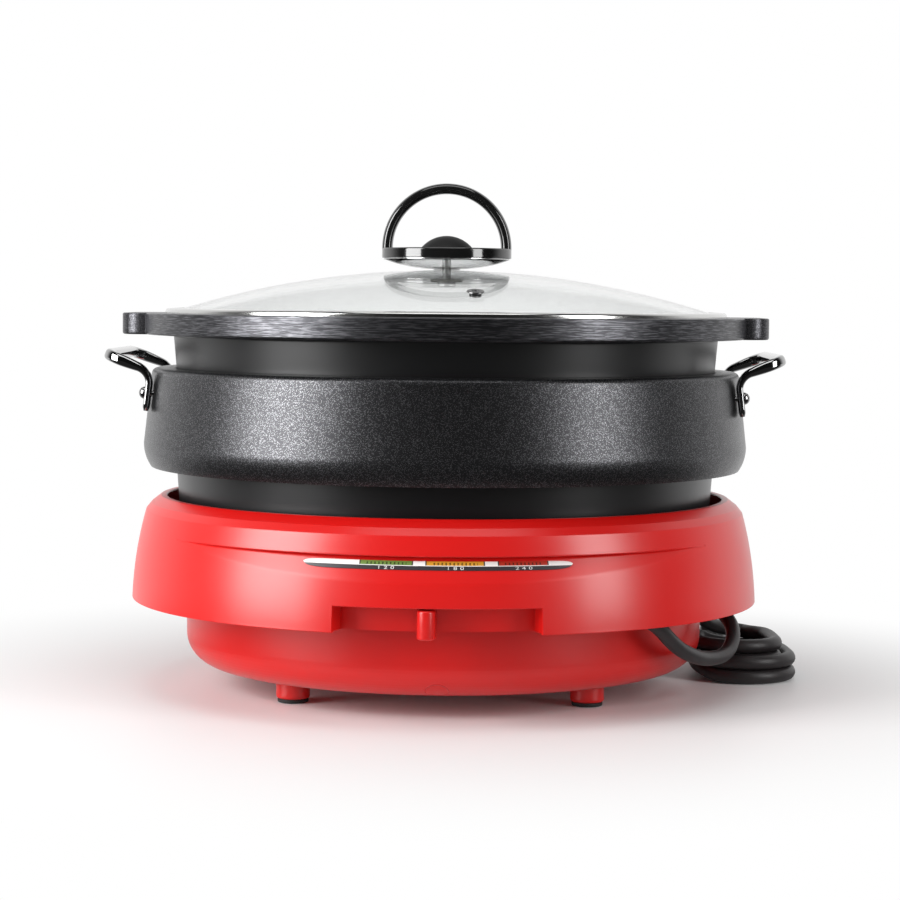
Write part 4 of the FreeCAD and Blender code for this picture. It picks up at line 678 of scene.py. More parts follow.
def bowl_wall_radius(height, inset=0.0):
    """The drafted wall between the bottom corner and the rim."""
    bend_top = BOWL_BOTTOM + BOWL_BEND
    draft = (BOWL_TOP_RADIUS - BOWL_LOW_RADIUS) / (RIM_BOTTOM - bend_top)
    return BOWL_LOW_RADIUS + (height - bend_top) * draft - inset


def make_bowl():
    """Tub with a rounded corner and an outward rim, an arc slot for the lever, four feet and the
    block that holds the cord's relief."""
    inside = BOWL_BOTTOM + BOWL_WALL
    outer = [(0, BOWL_BOTTOM), (BOWL_LOW_RADIUS, BOWL_BOTTOM, BOWL_BEND)]
    outer += [(bowl_wall_radius(z), z) for z in SLOT]
    outer += [(BOWL_TOP_RADIUS, RIM_BOTTOM, 1.0)]
    outer += [(BOWL_RIM_RADIUS, RIM_BOTTOM, 0.5), (BOWL_RIM_RADIUS, BOWL_RIM, 0.5)]
    inner = [(BOWL_TOP_RADIUS - BOWL_WALL, BOWL_RIM, 1.0)]
    inner += [(bowl_wall_radius(z, BOWL_WALL), z) for z in SLOT[::-1]]
    inner += [(BOWL_LOW_RADIUS - BOWL_WALL, inside, BOWL_BEND - BOWL_WALL), (0, inside)]
    shell = turned(rounded(outer + inner, closed=False, steps=14))

    steps = np.radians(np.arange(-SLOT_HALF, SLOT_HALF + 0.1, SLOT_STEP))
    path = np.concatenate([steps, steps[::-1]])
    heights = np.repeat(SLOT, len(steps))
    rings = [np.stack([bowl_wall_radius(heights, inset), heights], axis=-1) for inset in (0.0, BOWL_WALL)]
    slot_edge = np.stack([revolved(path, ring[:, None])[:, 0] for ring in rings], axis=1)

    post = turned(rounded([(0, PAD_TALL), (FOOT_RADIUS, PAD_TALL, 1.6), (FOOT_RADIUS, BOWL_BOTTOM - 0.8, 0.8),
                           (FOOT_RADIUS + 1.2, BOWL_BOTTOM + 0.6), (0, BOWL_BOTTOM + 1.4)], closed=False), 48)

    def in_slot(middle):
        angle = np.degrees(np.arctan2(middle[:, 0], -middle[:, 1]))
        radius = np.hypot(middle[:, 0], middle[:, 1])
        level = (middle[:, 2] > SLOT[0] + 0.01) & (middle[:, 2] < SLOT[1] - 0.01)
        at_wall = (radius > BOWL_LOW_RADIUS - 4) & (radius < BOWL_LOW_RADIUS + 2)
        return level & at_wall & (np.abs(angle) < SLOT_HALF)

    grids = [(shell, True, False), (cord_block(), False, True)]
    grids += [(grid, True, False) for grid in at_corners(post, FOOT_OFFSET)]
    bowl = piece("bowl_tub", grids, red_plastic("bowl_red", mark=(-0.5, -137.0, 14.2)), "base",
                 ["lower_bowl"], drop=in_slot)
    lining = piece("lever_slot_edge", [(slot_edge, True, False)], red_plastic("slot_red"), "base")
    return bowl, lining


def cord_block():
    """The wedge on the bowl's wall that the relief sits in, with its upright edges rounded."""
    rays = [np.array([math.sin(angle), -math.cos(angle)]) for angle in (BLOCK_START, BLOCK_END)]
    outline = rounded([BLOCK_NEAR * rays[0], (*(BLOCK_FAR * rays[0]), BLOCK_BEND),
                       (*(BLOCK_FAR * rays[1]), BLOCK_BEND), BLOCK_NEAR * rays[1]])
    return stacked(outline, soft_levels(BLOCK_BOTTOM, BLOCK_TOP, 0.8), outline.mean(axis=0))


def make_foot_pads():
    """Rubber discs under the feet, rounded where they meet the table."""
    pad = turned(rounded([(0, 0), (PAD_RADIUS, 0, 0.7), (PAD_RADIUS, PAD_TALL), (0, PAD_TALL)],
                         closed=False), 48)
    grids = [(grid, True, False) for grid in at_corners(pad, FOOT_OFFSET)]
    finish = plain_plastic("foot_rubber", (0.012, 0.012, 0.012, 1), 0.6, 0.75)
    return piece("foot_rubbers", grids, finish, "base", ["foot_pads"])


LEVER_REST = math.radians(-1.8)
FINGER_HALF = 4.5
FINGER_BACK = 161.8
FINGER_BOTTOM, FINGER_TOP = 46.4, 61.0
FINGER_EDGE = 1.1


def make_lever_knob():
    """Finger piece: a straight back, a half-round front, rounded top and bottom edges."""
    half, back, edge = FINGER_HALF, FINGER_BACK, FINGER_EDGE
    start = GUARD_FOOT_RADIUS - half
    turn = np.linspace(np.pi, 2 * np.pi, 25)[1:-1, None]
    nose = np.hstack([half * np.cos(turn), -start + half * np.sin(turn)])
    sides = rounded([(half, -start), (half, -back, 0.8), (-half, -back, 0.8), (-half, -start)], closed=False)
    outline = np.vstack([sides, nose])
    quarter = np.linspace(0, np.pi / 2, 6)
    soft = [(edge * (1 - math.sin(a)), edge * (1 - math.cos(a))) for a in quarter]
    low = [(FINGER_BOTTOM + rise, inset) for rise, inset in soft[::-1]]
    high = [(FINGER_TOP - rise, inset) for rise, inset in soft]
    knob = stacked(outline, low + high, (0, -start))
    knob = placed(knob, Matrix.Rotation(LEVER_REST, 4, "Z"))
    return piece("lever_finger_piece", [(knob, False, True)], red_plastic("knob_red"), "lever",
                 ["lever_knob"])


# Each field's middle and half width in radians about the recess's axis, and its colour.
SCALE_FIELDS = [
    (-0.1445, 0.0725, (0.14, 0.24, 0.05, 1)),
    (0.0495, 0.0795, (0.62, 0.30, 0.03, 1)),
    (0.2425, 0.0695, (0.42, 0.03, 0.015, 1)),
]
# Heights in millimetres of the dark stripe's top and of the tick marks' middle and half height.
STRIPE_TOP = 82.7
TICK_MIDDLE, TICK_HALF = 83.8, 0.6
TICKS_A_RADIAN = 90.0


def scale_finish():
    """Printed band: a white stripe over a dark one, with three coloured fields of tick marks."""
    border, marked = 0.004, 0.8
    material, tree, shader = new_finish("scale_print", IOR=1.5)
    x, y, z = tree.parts(tree.spot())
    angle = tree.math("ARCTAN2", x, tree.math("SUBTRACT", SCOOP_BACK * MM, y))
    dark = tree.math("LESS_THAN", z, STRIPE_TOP * MM)
    colour = tree.blend(dark, (0.82, 0.80, 0.78, 1), (0.035, 0.03, 0.035, 1))
    upper = tree.math("GREATER_THAN", z, (STRIPE_TOP + 0.3) * MM)
    ticks = tree.math("LESS_THAN", tree.math("FRACT", tree.math("MULTIPLY", angle, TICKS_A_RADIAN)), 0.4)
    from_middle = tree.math("ABSOLUTE", tree.math("SUBTRACT", z, TICK_MIDDLE * MM))
    ticks = tree.math("MULTIPLY", ticks, tree.math("LESS_THAN", from_middle, TICK_HALF * MM))
    for middle, half, tint in SCALE_FIELDS:
        away = tree.math("ABSOLUTE", tree.math("SUBTRACT", angle, middle))
        outer = tree.math("MULTIPLY", upper, tree.math("LESS_THAN", away, half + border))
        inner = tree.math("MULTIPLY", upper, tree.math("LESS_THAN", away, half))
        marks = tree.math("MULTIPLY", tree.math("LESS_THAN", away, half * marked), ticks)
        colour = tree.blend(outer, colour, (0.04, 0.035, 0.03, 1))
        colour = tree.blend(inner, colour, tint)
        colour = tree.blend(marks, colour, tuple(value * 0.25 for value in tint[:3]) + (1,))
    rough = tree.group(HANDLED, {"Scale": 60.0, "Low": 0.28, "High": 0.36})
    feed(tree, shader, Base_Color=colour, Roughness=rough)
    return material


def make_scale_band():
    """Thin printed band on the recess's cone: point(a, v) = cone radius at height v, turned by a
    about the recess's axis; its height shrinks to a point at both ends."""
    half, sheet, gap, tall, tip_level = math.radians(22.3), 0.4, 2.3, 4.3, 0.35
    angle = np.linspace(-half, half, 121)[:, None]
    tip = np.sqrt(np.clip(1 - (np.abs(angle) / half) ** 14, 0, 1))
    top = SCOOP_TOP - gap
    share = np.array([0.0, 0.0, 0.04, 0.35, 0.65, 0.96, 1.0, 1.0])[None]
    proud = np.array([0.0, 0.7, 1.0, 1.0, 1.0, 1.0, 0.7, 0.0])[None] * sheet
    height = top - tall * (tip_level + (share - tip_level) * tip)
    cone = SCOOP_TOP_RADIUS + SCOOP_SLOPE * (SCOOP_TOP - height) + proud
    grid = np.stack([cone * np.sin(angle), SCOOP_BACK - cone * np.cos(angle), height], axis=-1) * MM
    return piece("scale_band", [(grid, False, True)], scale_finish(), "base", ["scale_strip"])


def make_scale_numbers():
    """Plain numbers on the dark stripe: each flat number is bent onto the recess's cone, where its
    width becomes an angle and its height a height up the slope."""
    size, proud, foot, spread, letter_space = 2.3, 0.43, 81.1, 1.7, 1.7
    slant = math.hypot(1.0, SCOOP_SLOPE)
    finish = plain_plastic("scale_white", (0.75, 0.74, 0.73, 1), 0.3, 0.4)
    numbers = []
    for (middle, _, _), words in zip(SCALE_FIELDS, ("120", "180", "240")):
        flat = bpy.data.curves.new("number", "FONT")
        flat.body = words
        flat.size = size
        flat.extrude = 0.02
        flat.align_x = "CENTER"
        flat.space_character = letter_space
        holder = bpy.data.objects.new("number", flat)
        mesh = bpy.data.meshes.new_from_object(holder)
        bpy.data.objects.remove(holder)
        bpy.data.curves.remove(flat)
        points = np.empty(len(mesh.vertices) * 3)
        mesh.vertices.foreach_get("co", points)
        across, up, out = points.reshape(-1, 3).T
        height = foot + up / slant
        cone = SCOOP_TOP_RADIUS + SCOOP_SLOPE * (SCOOP_TOP - height) + proud + out
        angle = middle + across * spread / SCOOP_TOP_RADIUS
        bent = np.stack([cone * np.sin(angle), SCOOP_BACK - cone * np.cos(angle), height], axis=1) * MM
        mesh.vertices.foreach_set("co", bent.ravel())
        mesh.update()
        thing = bpy.data.objects.new("scale_number_" + words, mesh)
        numbers.append(finished(thing, finish, "base"))
    return numbers


# --- pot, ring, handles ------------------------------------------------------------------------

POT_FLOOR = 84.3
POT_RIM = 175.0
POT_LOW_RADIUS = 146.2
POT_RADIUS = 153.0
POT_MOUTH = 149.9
POT_SHEET = 4.0
POT_COLLAR = 171.0
RING_BOTTOM = 121.2
RING_TOP_RADIUS = 162.4
RING_TOP_BEND = 3.5
RING_LOW_RADIUS = 167.0
RING_BEND = 133.0
RING_FOOT_RADIUS = 163.2
RING_HEEL_RADIUS = 157.0
RING_SHEET = 2.0


def make_pot():
    """Cast pot: flat floor, rounded corner, drafted wall, a short collar at the rim."""
    profile = rounded([
        (0, POT_FLOOR), (POT_LOW_RADIUS, POT_FLOOR, 12.2), (POT_RADIUS - 0.4, POT_COLLAR),
        (POT_RADIUS, POT_COLLAR), (POT_RADIUS, POT_RIM, 0.4), (POT_MOUTH, POT_RIM, 1.0),
        (POT_LOW_RADIUS - 3.0, POT_FLOOR + POT_SHEET, 9.2), (0, POT_FLOOR + POT_SHEET),
    ], closed=False, steps=10)
    return spun("pot_casting", profile, satin_coating(), "pot", ["deep_pot"])


def ring_radius(height):
    """The ring's outer radius on its sloping wall."""
    bend_start = POT_RIM - RING_TOP_BEND
    share = (bend_start - height) / (bend_start - RING_BEND)
    return RING_TOP_RADIUS + (RING_LOW_RADIUS - RING_TOP_RADIUS) * share


def make_ring():
    """Speckled ring round the pot: a rounded top edge, a sloping wall, a foot that curls in."""
    curl = 22.0
    foot_start = np.array([RING_FOOT_RADIUS, RING_BOTTOM])
    foot_end = np.array([RING_LOW_RADIUS, RING_BEND])
    inwards = np.array([-RING_SHEET, 0.0])
    foot = arc_run(foot_start, foot_end, curl, 10)
    foot_in = arc_run(foot_end + inwards, foot_start + inwards + (0, RING_SHEET), RING_SHEET - curl, 10)
    top = rounded([(RING_LOW_RADIUS, RING_BEND + 1.0), (RING_TOP_RADIUS, POT_RIM, RING_TOP_BEND),
                   (POT_RADIUS, POT_RIM), (POT_RADIUS, POT_RIM - RING_SHEET),
                   (RING_TOP_RADIUS - RING_SHEET, POT_RIM - RING_SHEET, RING_TOP_BEND - RING_SHEET),
                   (RING_LOW_RADIUS - RING_SHEET, RING_BEND + 1.0)], closed=False, steps=8)
    heel_out, heel_top = RING_FOOT_RADIUS - 1.2, RING_BOTTOM + RING_SHEET
    heel = rounded([(heel_out, heel_top), (RING_HEEL_RADIUS, heel_top), (RING_HEEL_RADIUS, RING_BOTTOM, 0.5),
                    (heel_out, RING_BOTTOM)], closed=False)
    profile = np.vstack([foot, top, foot_in, heel])
    return spun("pot_ring", profile, speckled_coating(), "pot", ["pot_guard_ring"],
                steps=300, ring=True)


HANDLE_GAP = 47.0
HANDLE_WIDE = 9.0
HANDLE_THICK = 3.6
LEG_FOOT = 152.3
LEG_TOP = 167.0
HANDLE_BEND = math.radians(63)
HANDLE_TIP = 184.5
HANDLE_TIP_HEIGHT = 182.2
BAR_RADIUS = 3.1
CORNER_RADIUS = 9.0
ELBOW_INNER = 8.0
# The strap grows round from this far along its leg, over this length.
ROUND_FROM, ROUND_OVER = 14, 24
TIP_ROUND = 2.0


def leg_face(height):
    """The inner face of a handle's leg, where it touches the ring at the strap's edge."""
    near = HANDLE_GAP - HANDLE_WIDE / 2
    return math.sqrt(ring_radius(height) ** 2 - near ** 2) + 0.05


def handle_path():
    """The strap's middle line seen from the front, as points (x, z): leg, elbow, arm."""
    half = HANDLE_THICK / 2
    bend = ELBOW_INNER + half
    foot = np.array([leg_face(LEG_FOOT) + half, LEG_FOOT])
    top = np.array([leg_face(LEG_TOP) + half, LEG_TOP])
    leg = np.linspace(foot, top, 8)[:-1]
    turn = np.linspace(0, HANDLE_BEND, 12)
    elbow = np.stack([top[0] + bend * (1 - np.cos(turn)), top[1] + bend * np.sin(turn)], axis=1)
    tip = np.array([HANDLE_TIP - BAR_RADIUS, HANDLE_TIP_HEIGHT])
    arm = elbow[-1] + (tip - elbow[-1]) * np.linspace(0, 1, 14)[1:, None]
    return np.vstack([leg, elbow, arm])


def make_handle(name, node, side):
    """One bar bent to a U and cranked down to its two feet: the leg, elbow and arm of handle_path
    in front, a quarter circle, the level grip, and the same again behind. The section goes from a
    flat strap at the feet to a round grip."""
    line = handle_path()
    arm_way = (line[-1] - line[-2]) / np.linalg.norm(line[-1] - line[-2])
    last = line[-1] - arm_way * CORNER_RADIUS
    behind = (line - last) @ arm_way < 0
    line = np.vstack([line[behind], last])
    front = np.column_stack([line[:, 0], np.full(len(line), -HANDLE_GAP), line[:, 1]])
    turn = np.linspace(0, np.pi / 2, 12)[1:, None]
    out = np.array([arm_way[0], 0, arm_way[1]])
    across = np.array([0, 1.0, 0])
    corner = front[-1] + CORNER_RADIUS * (out * np.sin(turn) + across * (1 - np.cos(turn)))
    grip = np.linspace(corner[-1], corner[-1] * [1, 0, 1], 10)[1:]
    half = np.vstack([front, corner, grip])
    path = np.vstack([half, half[-2::-1] * [1, -1, 1]])
    way = np.gradient(path, axis=0)
    way = way / np.linalg.norm(way, axis=1, keepdims=True)
    slope = np.gradient(np.vstack([line, last + arm_way]), axis=0)[:-1]
    slope = slope / np.linalg.norm(slope, axis=1, keepdims=True)
    leg_normals = np.column_stack([-slope[:, 1], np.zeros(len(slope)), slope[:, 0]])
    grip_normals = np.repeat([[-arm_way[1], 0, arm_way[0]]], len(half) - len(line), axis=0)
    normals = np.vstack([leg_normals, grip_normals])
    normals = np.vstack([normals, normals[-2::-1]])
    wides = np.cross(way, normals)
    length = np.concatenate([[0], np.cumsum(np.linalg.norm(np.diff(path, axis=0), axis=1))])
    from_end = np.minimum(length, length[-1] - length)
    share = eased((from_end - ROUND_FROM) / ROUND_OVER)
    half_thick = HANDLE_THICK / 2 + (BAR_RADIUS - HANDLE_THICK / 2) * share
    half_wide = HANDLE_WIDE / 2 + (BAR_RADIUS - HANDLE_WIDE / 2) * share
    tip_round = np.sqrt(np.clip(1 - np.clip(1 - from_end / TIP_ROUND, 0, 1) ** 2, 0.0, 1))
    half_wide = half_wide * (0.6 + 0.4 * tip_round)
    half_thick = half_thick * (0.7 + 0.3 * tip_round)
    grid = swept(path, normals, wides, half_thick, half_wide, 3.0, 28) * MM * np.array([side, 1, 1])
    return piece(name, [(grid, False, True)], HANDLE_CHROME, "pot", [node], sharp=50)


def make_rivets():
    """Domed heads on the handles' feet: part of a ball over a short shank."""
    head, rise, shank, deep, height = 3.4, 3.2, 1.6, 8.0, 162.0
    ball = (head * head + rise * rise) / (2 * rise)
    dome = arc_run((0, rise), (head, 0.0), -ball, 10)
    profile = np.vstack([dome, [[head, -0.05], [shank, -0.05], [shank, -deep], [0, -deep]]])
    share = (LEG_TOP - height) / (LEG_TOP - LEG_FOOT)
    foot, top = leg_face(LEG_FOOT) + HANDLE_THICK, leg_face(LEG_TOP) + HANDLE_THICK
    grids = []
    for side in (1, -1):
        for way in (1, -1):
            seat = ((top + (foot - top) * share) * side, HANDLE_GAP * way, height)
            outward = ((LEG_TOP - LEG_FOOT) * side, 0, foot - top)
            grids.append((placed(turned(profile, 32), frame_at(seat, outward)), True, False))
    return piece("handle_rivet_heads", grids, HANDLE_CHROME, "pot", ["handle_rivets"])


# --- grill plate -------------------------------------------------------------------------------

FLANGE_RADIUS = 166.5
FLANGE_BOTTOM = 193.3
FLANGE_TOP = 205.0
EAR_REACH = 176.9
EAR_HALF = 36.0
EAR_CORNER = 12.0
# The ears stretch the flange from this radius outwards, in full after this length.
EAR_FROM, EAR_OVER = 158.0, 6.5
PLATE_BOTTOM = 160.0
PLATE_LOW_RADIUS = 147.6
PLATE_MIDDLE = (149.2, 175.0)
PLATE_TOP_RADIUS = 150.8
PLATE_WALL = 3.2
PLATE_SHEET = 4.0
SEAT_RADIUS = 156.3


def flange_reach(angles):
    """The flange's outline: the greater of the circle and a long plate with rounded corners, with
    a rounded inner corner where they meet. Distances are found along each angle's ray."""
    x = np.abs(np.sin(angles))
    y = np.abs(np.cos(angles))
    inner_x, inner_y = EAR_REACH - EAR_CORNER, EAR_HALF - EAR_CORNER
    to_end = EAR_REACH / np.maximum(x, 1e-6)
    to_side = EAR_HALF / np.maximum(y, 1e-6)
    along = inner_x * x + inner_y * y
    square = inner_x ** 2 + inner_y ** 2 - EAR_CORNER ** 2
    to_corner = along + np.sqrt(np.maximum(along ** 2 - square, 0))
    straight = np.minimum(to_end, to_side)
    at_corner = (straight * x > inner_x) & (straight * y > inner_y)
    ear = np.where(at_corner, to_corner, straight)
    return -soft_least(-ear, np.full_like(ear, -FLANGE_RADIUS), 2.5)


def plate_angles():
    """Even angles, packed closer at the two ears' corners."""
    even = np.linspace(-180, 180, 181)[:-1]
    close = [np.arange(90 * side - 15, 90 * side + 15, 0.25) for side in (1, -1)]
    return np.radians(np.unique(np.round(np.concatenate([even] + close), 3)))


def make_plate():
    """Cast plate: floor, drafted wall, thick flange with two ears, a step that holds the lid."""
    angles = plate_angles()
    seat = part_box("lid_rim")[0].z / MM - 0.3
    inside = PLATE_BOTTOM + PLATE_SHEET
    profile = rounded([
        (0, PLATE_BOTTOM), (PLATE_LOW_RADIUS, PLATE_BOTTOM, 9.6), PLATE_MIDDLE,
        (PLATE_TOP_RADIUS, FLANGE_BOTTOM, 1.5), (FLANGE_RADIUS, FLANGE_BOTTOM, 1.2),
        (FLANGE_RADIUS, FLANGE_TOP, 0.9), (SEAT_RADIUS, FLANGE_TOP, 0.5), (SEAT_RADIUS, seat),
        (PLATE_TOP_RADIUS - PLATE_WALL, seat, 0.6), (PLATE_MIDDLE[0] - PLATE_WALL, PLATE_MIDDLE[1]),
        (PLATE_LOW_RADIUS - PLATE_WALL, inside, 6.4), (0, inside),
    ], closed=False, steps=8)
    extra = flange_reach(angles) - FLANGE_RADIUS
    share = np.clip((profile[:, 0] - EAR_FROM) / EAR_OVER, 0, 1)
    profiles = np.broadcast_to(profile, (len(angles),) + profile.shape).copy()
    profiles[..., 0] += extra[:, None] * share[None]
    grid = revolved(angles, profiles)
    return piece("plate_casting", [(grid, True, False)], machined_coating(), "plate",
                 ["grill_plate"])


# --- lid ---------------------------------------------------------------------------------------

GLASS_TOP = 230.0
GLASS_RISE = 24.6
GLASS_RADIUS = 153.4
GLASS_THICK = 4.0
GLASS_BALL = (GLASS_RADIUS ** 2 + GLASS_RISE ** 2) / (2 * GLASS_RISE)
GLASS_EDGE = GLASS_TOP - GLASS_RISE
DISC_RADIUS = 36.0
DISC_TOP = 242.0


def make_glass():
    """Dome: two arcs of one radius, one a glass's thickness below the other, and a bevelled edge."""
    reach, low = GLASS_RADIUS - 0.6, GLASS_EDGE - GLASS_THICK
    outer = arc_run((0, GLASS_TOP), (reach, GLASS_EDGE), -GLASS_BALL, 48)
    inner = arc_run((reach, low), (0, GLASS_TOP - GLASS_THICK), GLASS_BALL, 48)
    edge = [[GLASS_RADIUS, GLASS_EDGE - 0.8], [GLASS_RADIUS, low + 0.8]]
    profile = np.vstack([outer, edge, inner])
    finish = clear_finish("lid_glass", 1.14, (0.985, 0.997, 0.992, 1))
    return spun("glass_dome", profile, finish, "lid", ["lid_glass"], sharp=60)


def make_lid_rim():
    """Steel channel folded round the glass's edge, rolled at its outer corners."""
    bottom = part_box("lid_rim")[0].z / MM
    sheet, lip, rim = 0.8, 149.4, 155.4
    profile = rounded([
        (lip, bottom), (rim, bottom, 1.2), (rim, GLASS_EDGE + 2.0, 1.6), (lip, GLASS_EDGE + 2.5, 0.3),
        (lip, GLASS_EDGE + 1.35, 0.2), (GLASS_RADIUS, GLASS_EDGE + 0.1), (GLASS_RADIUS, bottom + sheet),
        (lip, bottom + sheet),
    ])
    finish = polished_steel("rim_steel", (0.62, 0.62, 0.61, 1), 0.12, 0.2, 0.2)
    return spun("lid_rim_band", profile, finish, "lid", ["lid_rim"], steps=300, ring=True)


def make_eyelet():
    """Rolled eyelet through the glass at the vent."""
    x, y = 17.0, -108.0
    bore, shank, deep, head = 1.9, 3.2, 4.4, 4.7
    centre = GLASS_TOP - GLASS_BALL
    height = centre + math.sqrt(GLASS_BALL ** 2 - x * x - y * y)
    profile = rounded([(bore, -deep), (shank, -deep), (shank, 0.12), (head, 0.12, 0.1),
                       (head - 0.4, 1.0, 0.4), (bore, 0.95, 0.5)])
    grid = placed(turned(profile, 40), frame_at((x, y, height), (x, y, height - centre)))
    finish = polished_steel("vent_steel", (0.16, 0.16, 0.16, 1), 0.3, 0.4)
    return piece("vent_ring", [(grid, True, True)], finish, "lid", ["vent_eyelet"])


def make_knob_disc():
    """Round flat disc with a bright underside, held off the glass by a clear dish on a dark gasket.
    The dish's height rises with radius to the power 2.5."""
    foot, low = GLASS_TOP + 0.2, GLASS_TOP + 6.4
    hole, sheet, gasket_radius, dish_start, dish_rise = 2.45, 0.6, 7.4, 7.6, 5.9
    disc = rounded([(hole, low), (DISC_RADIUS, low, 0.5), (DISC_RADIUS, DISC_TOP, 0.9), (hole, DISC_TOP)])
    plate_radius, plate_top = DISC_RADIUS - 1.5, low - 0.02
    plate = rounded([(hole, low - sheet), (plate_radius, low - sheet, 0.2), (plate_radius, plate_top),
                     (hole, plate_top)])
    gasket = rounded([(hole, foot), (gasket_radius, foot, 0.3), (gasket_radius, foot + 1.0, 0.3),
                      (hole, foot + 1.0)])
    radius = np.linspace(dish_start, DISC_RADIUS - sheet, 22)
    under = foot + 0.1 + dish_rise * (radius / DISC_RADIUS) ** 2.5
    upper = under + sheet * (1 - ((radius - dish_start) / (DISC_RADIUS - sheet - dish_start)) ** 8)
    dish = np.vstack([np.stack([radius, under], axis=1), np.stack([radius, upper + 0.03], axis=1)[::-1]])
    steel = polished_steel("knob_plate_steel", (0.80, 0.80, 0.80, 1), 0.15, 0.25)
    clear = clear_finish("knob_dish_clear", 1.12, (0.97, 0.98, 0.98, 1))
    return [
        piece("knob_disc", [(turned(disc, 96), True, True), (turned(gasket, 48), True, True)], KNOB_BLACK,
              "lid", ["knob_base"]),
        spun("knob_plate", plate, steel, "lid", steps=96, ring=True),
        spun("knob_dish", dish, clear, "lid", steps=96, ring=True),
    ]


def make_knob_arch():
    """Half-round grip: a section of 6 by 13 with soft edges carried over a half circle, and down
    past the disc's edge at both ends."""
    band, wide, middle = 6.0, 13.0, DISC_RADIUS - 3.0
    turn = np.linspace(0, np.pi, 65)
    drop = np.array([4.6, 3.0, 1.5])
    over = np.stack([middle * np.cos(turn), 0 * turn, DISC_TOP + middle * np.sin(turn)], axis=1)
    right = np.stack([np.full(3, middle), np.zeros(3), DISC_TOP - drop], axis=1)
    left = right[::-1] * [-1, 1, 1]
    path = np.vstack([right, over, left])
    outward = np.vstack([np.repeat([[1.0, 0, 0]], 3, axis=0),
                         np.stack([np.cos(turn), 0 * turn, np.sin(turn)], axis=1),
                         np.repeat([[-1.0, 0, 0]], 3, axis=0)])
    across = np.repeat([[0, 1.0, 0]], len(path), axis=0)
    size = np.ones(len(path))
    grid = swept(path, outward, across, size * band / 2, size * wide / 2, 2.7, 36) * MM
    return piece("knob_grip", [(grid, False, True)], KNOB_BLACK, "lid", ["knob_arch"],
                 sharp=55)


def make_knob_dome():
    """Low cap in the middle of the disc: part of a ball."""
    radius, rise = 14.5, 7.0
    ball = (radius ** 2 + rise ** 2) / (2 * rise)
    profile = np.vstack([arc_run((0, DISC_TOP + rise), (radius, DISC_TOP), -ball, 16), [[0, DISC_TOP]]])
    finish = plain_plastic("knob_cap_matt", (0.012, 0.012, 0.012, 1), 0.5, 0.6, shine=0.2)
    return spun("knob_cap", profile, finish, "lid", ["knob_dome"], steps=64)


# --- mains cord --------------------------------------------------------------------------------

CORD_RADIUS = 4.0
# The lead from the relief's tip to the coil: out and down, forward of the guard, up and over.
LEAD_POINTS = [
    (94.366, -124.241, 55.833),
    (109.643, -116.117, 50.872),
    (121.5, -101.0, 36.0),
    (131.0, -86.0, 28.5),
    (142.0, -65.0, 23.0),
    (156.0, -42.0, 22.5),
    (161.5, -22.0, 34.0),
    (153.5, -3.0, 44.0),
    (155.0, 16.0, 45.5),
    (152.0, 31.0, 40.0),
    (148.0, 45.0, 34.0),
    (150.5, 59.0, 28.0),
    (160.5, 70.0, 22.5),
    (175.0, 75.2, 20.0),
]
COIL_X = 170.0
COIL_FRONT, COIL_BACK = 26.0, 47.0
COIL_STEP = 20.0
# Each turn's radius, height, and how far its middle lies off the coil's, across and back.
COIL_TURNS = [
    (22.0, 20.0, -2.5, 3.0),
    (27.0, 12.0, 0.0, 0.0),
    (19.0, 12.0, 0.5, -0.5),
    (19.0, 4.0, -0.5, 0.5),
    (27.0, 4.0, 0.0, 0.0),
]
# A turn's first and last angle in degrees, where it starts to run on into the next, where the
# last turn starts to rise, and over how many degrees either happens.
TURN_START, TURN_END = 80.0, -280.0
RUN_ON, LAST_RISE, CHANGE_OVER = -190.0, -120.0, 80.0
TAIL_ANGLE = 160.0
TAIL_LONG = 23.25
PLUG_TILT = math.radians(20)
PLUG_HEIGHT = 12.0


def coil_points():
    """Oval turns, clockwise from above: centre + radius (cos a, sin a), where the centre steps
    from the back to the front half, and each turn runs on into the next over its last quarter."""
    points = []
    for k, turn in enumerate(COIL_TURNS):
        following = COIL_TURNS[min(k + 1, len(COIL_TURNS) - 1)]
        last = k == len(COIL_TURNS) - 1
        start = TURN_START - COIL_STEP if k == 0 else TURN_START
        end = TAIL_ANGLE - 360.0 if last else TURN_END + COIL_STEP
        for angle in np.arange(start, end - 0.1, -COIL_STEP):
            share = eased((RUN_ON - angle) / CHANGE_OVER)
            radius, height, across, back = np.array(turn) * (1 - share) + np.array(following) * share
            if last:
                rise = PLUG_HEIGHT - CORD_RADIUS
                height = CORD_RADIUS + rise * np.clip((LAST_RISE - angle) / CHANGE_OVER, 0, 1)
            cosine, sine = math.cos(math.radians(angle)), math.sin(math.radians(angle))
            middle = COIL_BACK if sine > 0 else COIL_FRONT
            points.append((COIL_X + across + radius * cosine, middle + back + radius * sine, height))
    return points


def plug_frame():
    """The frame where the cord runs into the plug, its Z axis along the way in."""
    around = math.radians(TAIL_ANGLE)
    radius = COIL_TURNS[-1][0]
    way = Vector((math.sin(PLUG_TILT), math.cos(PLUG_TILT), 0))
    point = Vector((COIL_X + radius * math.cos(around), COIL_BACK + radius * math.sin(around), PLUG_HEIGHT))
    seat = (point + way * TAIL_LONG) * MM
    axes = Matrix((way.cross(Vector((0, 0, 1))), Vector((0, 0, 1)), way)).transposed()
    return Matrix.Translation(seat) @ axes.to_4x4()


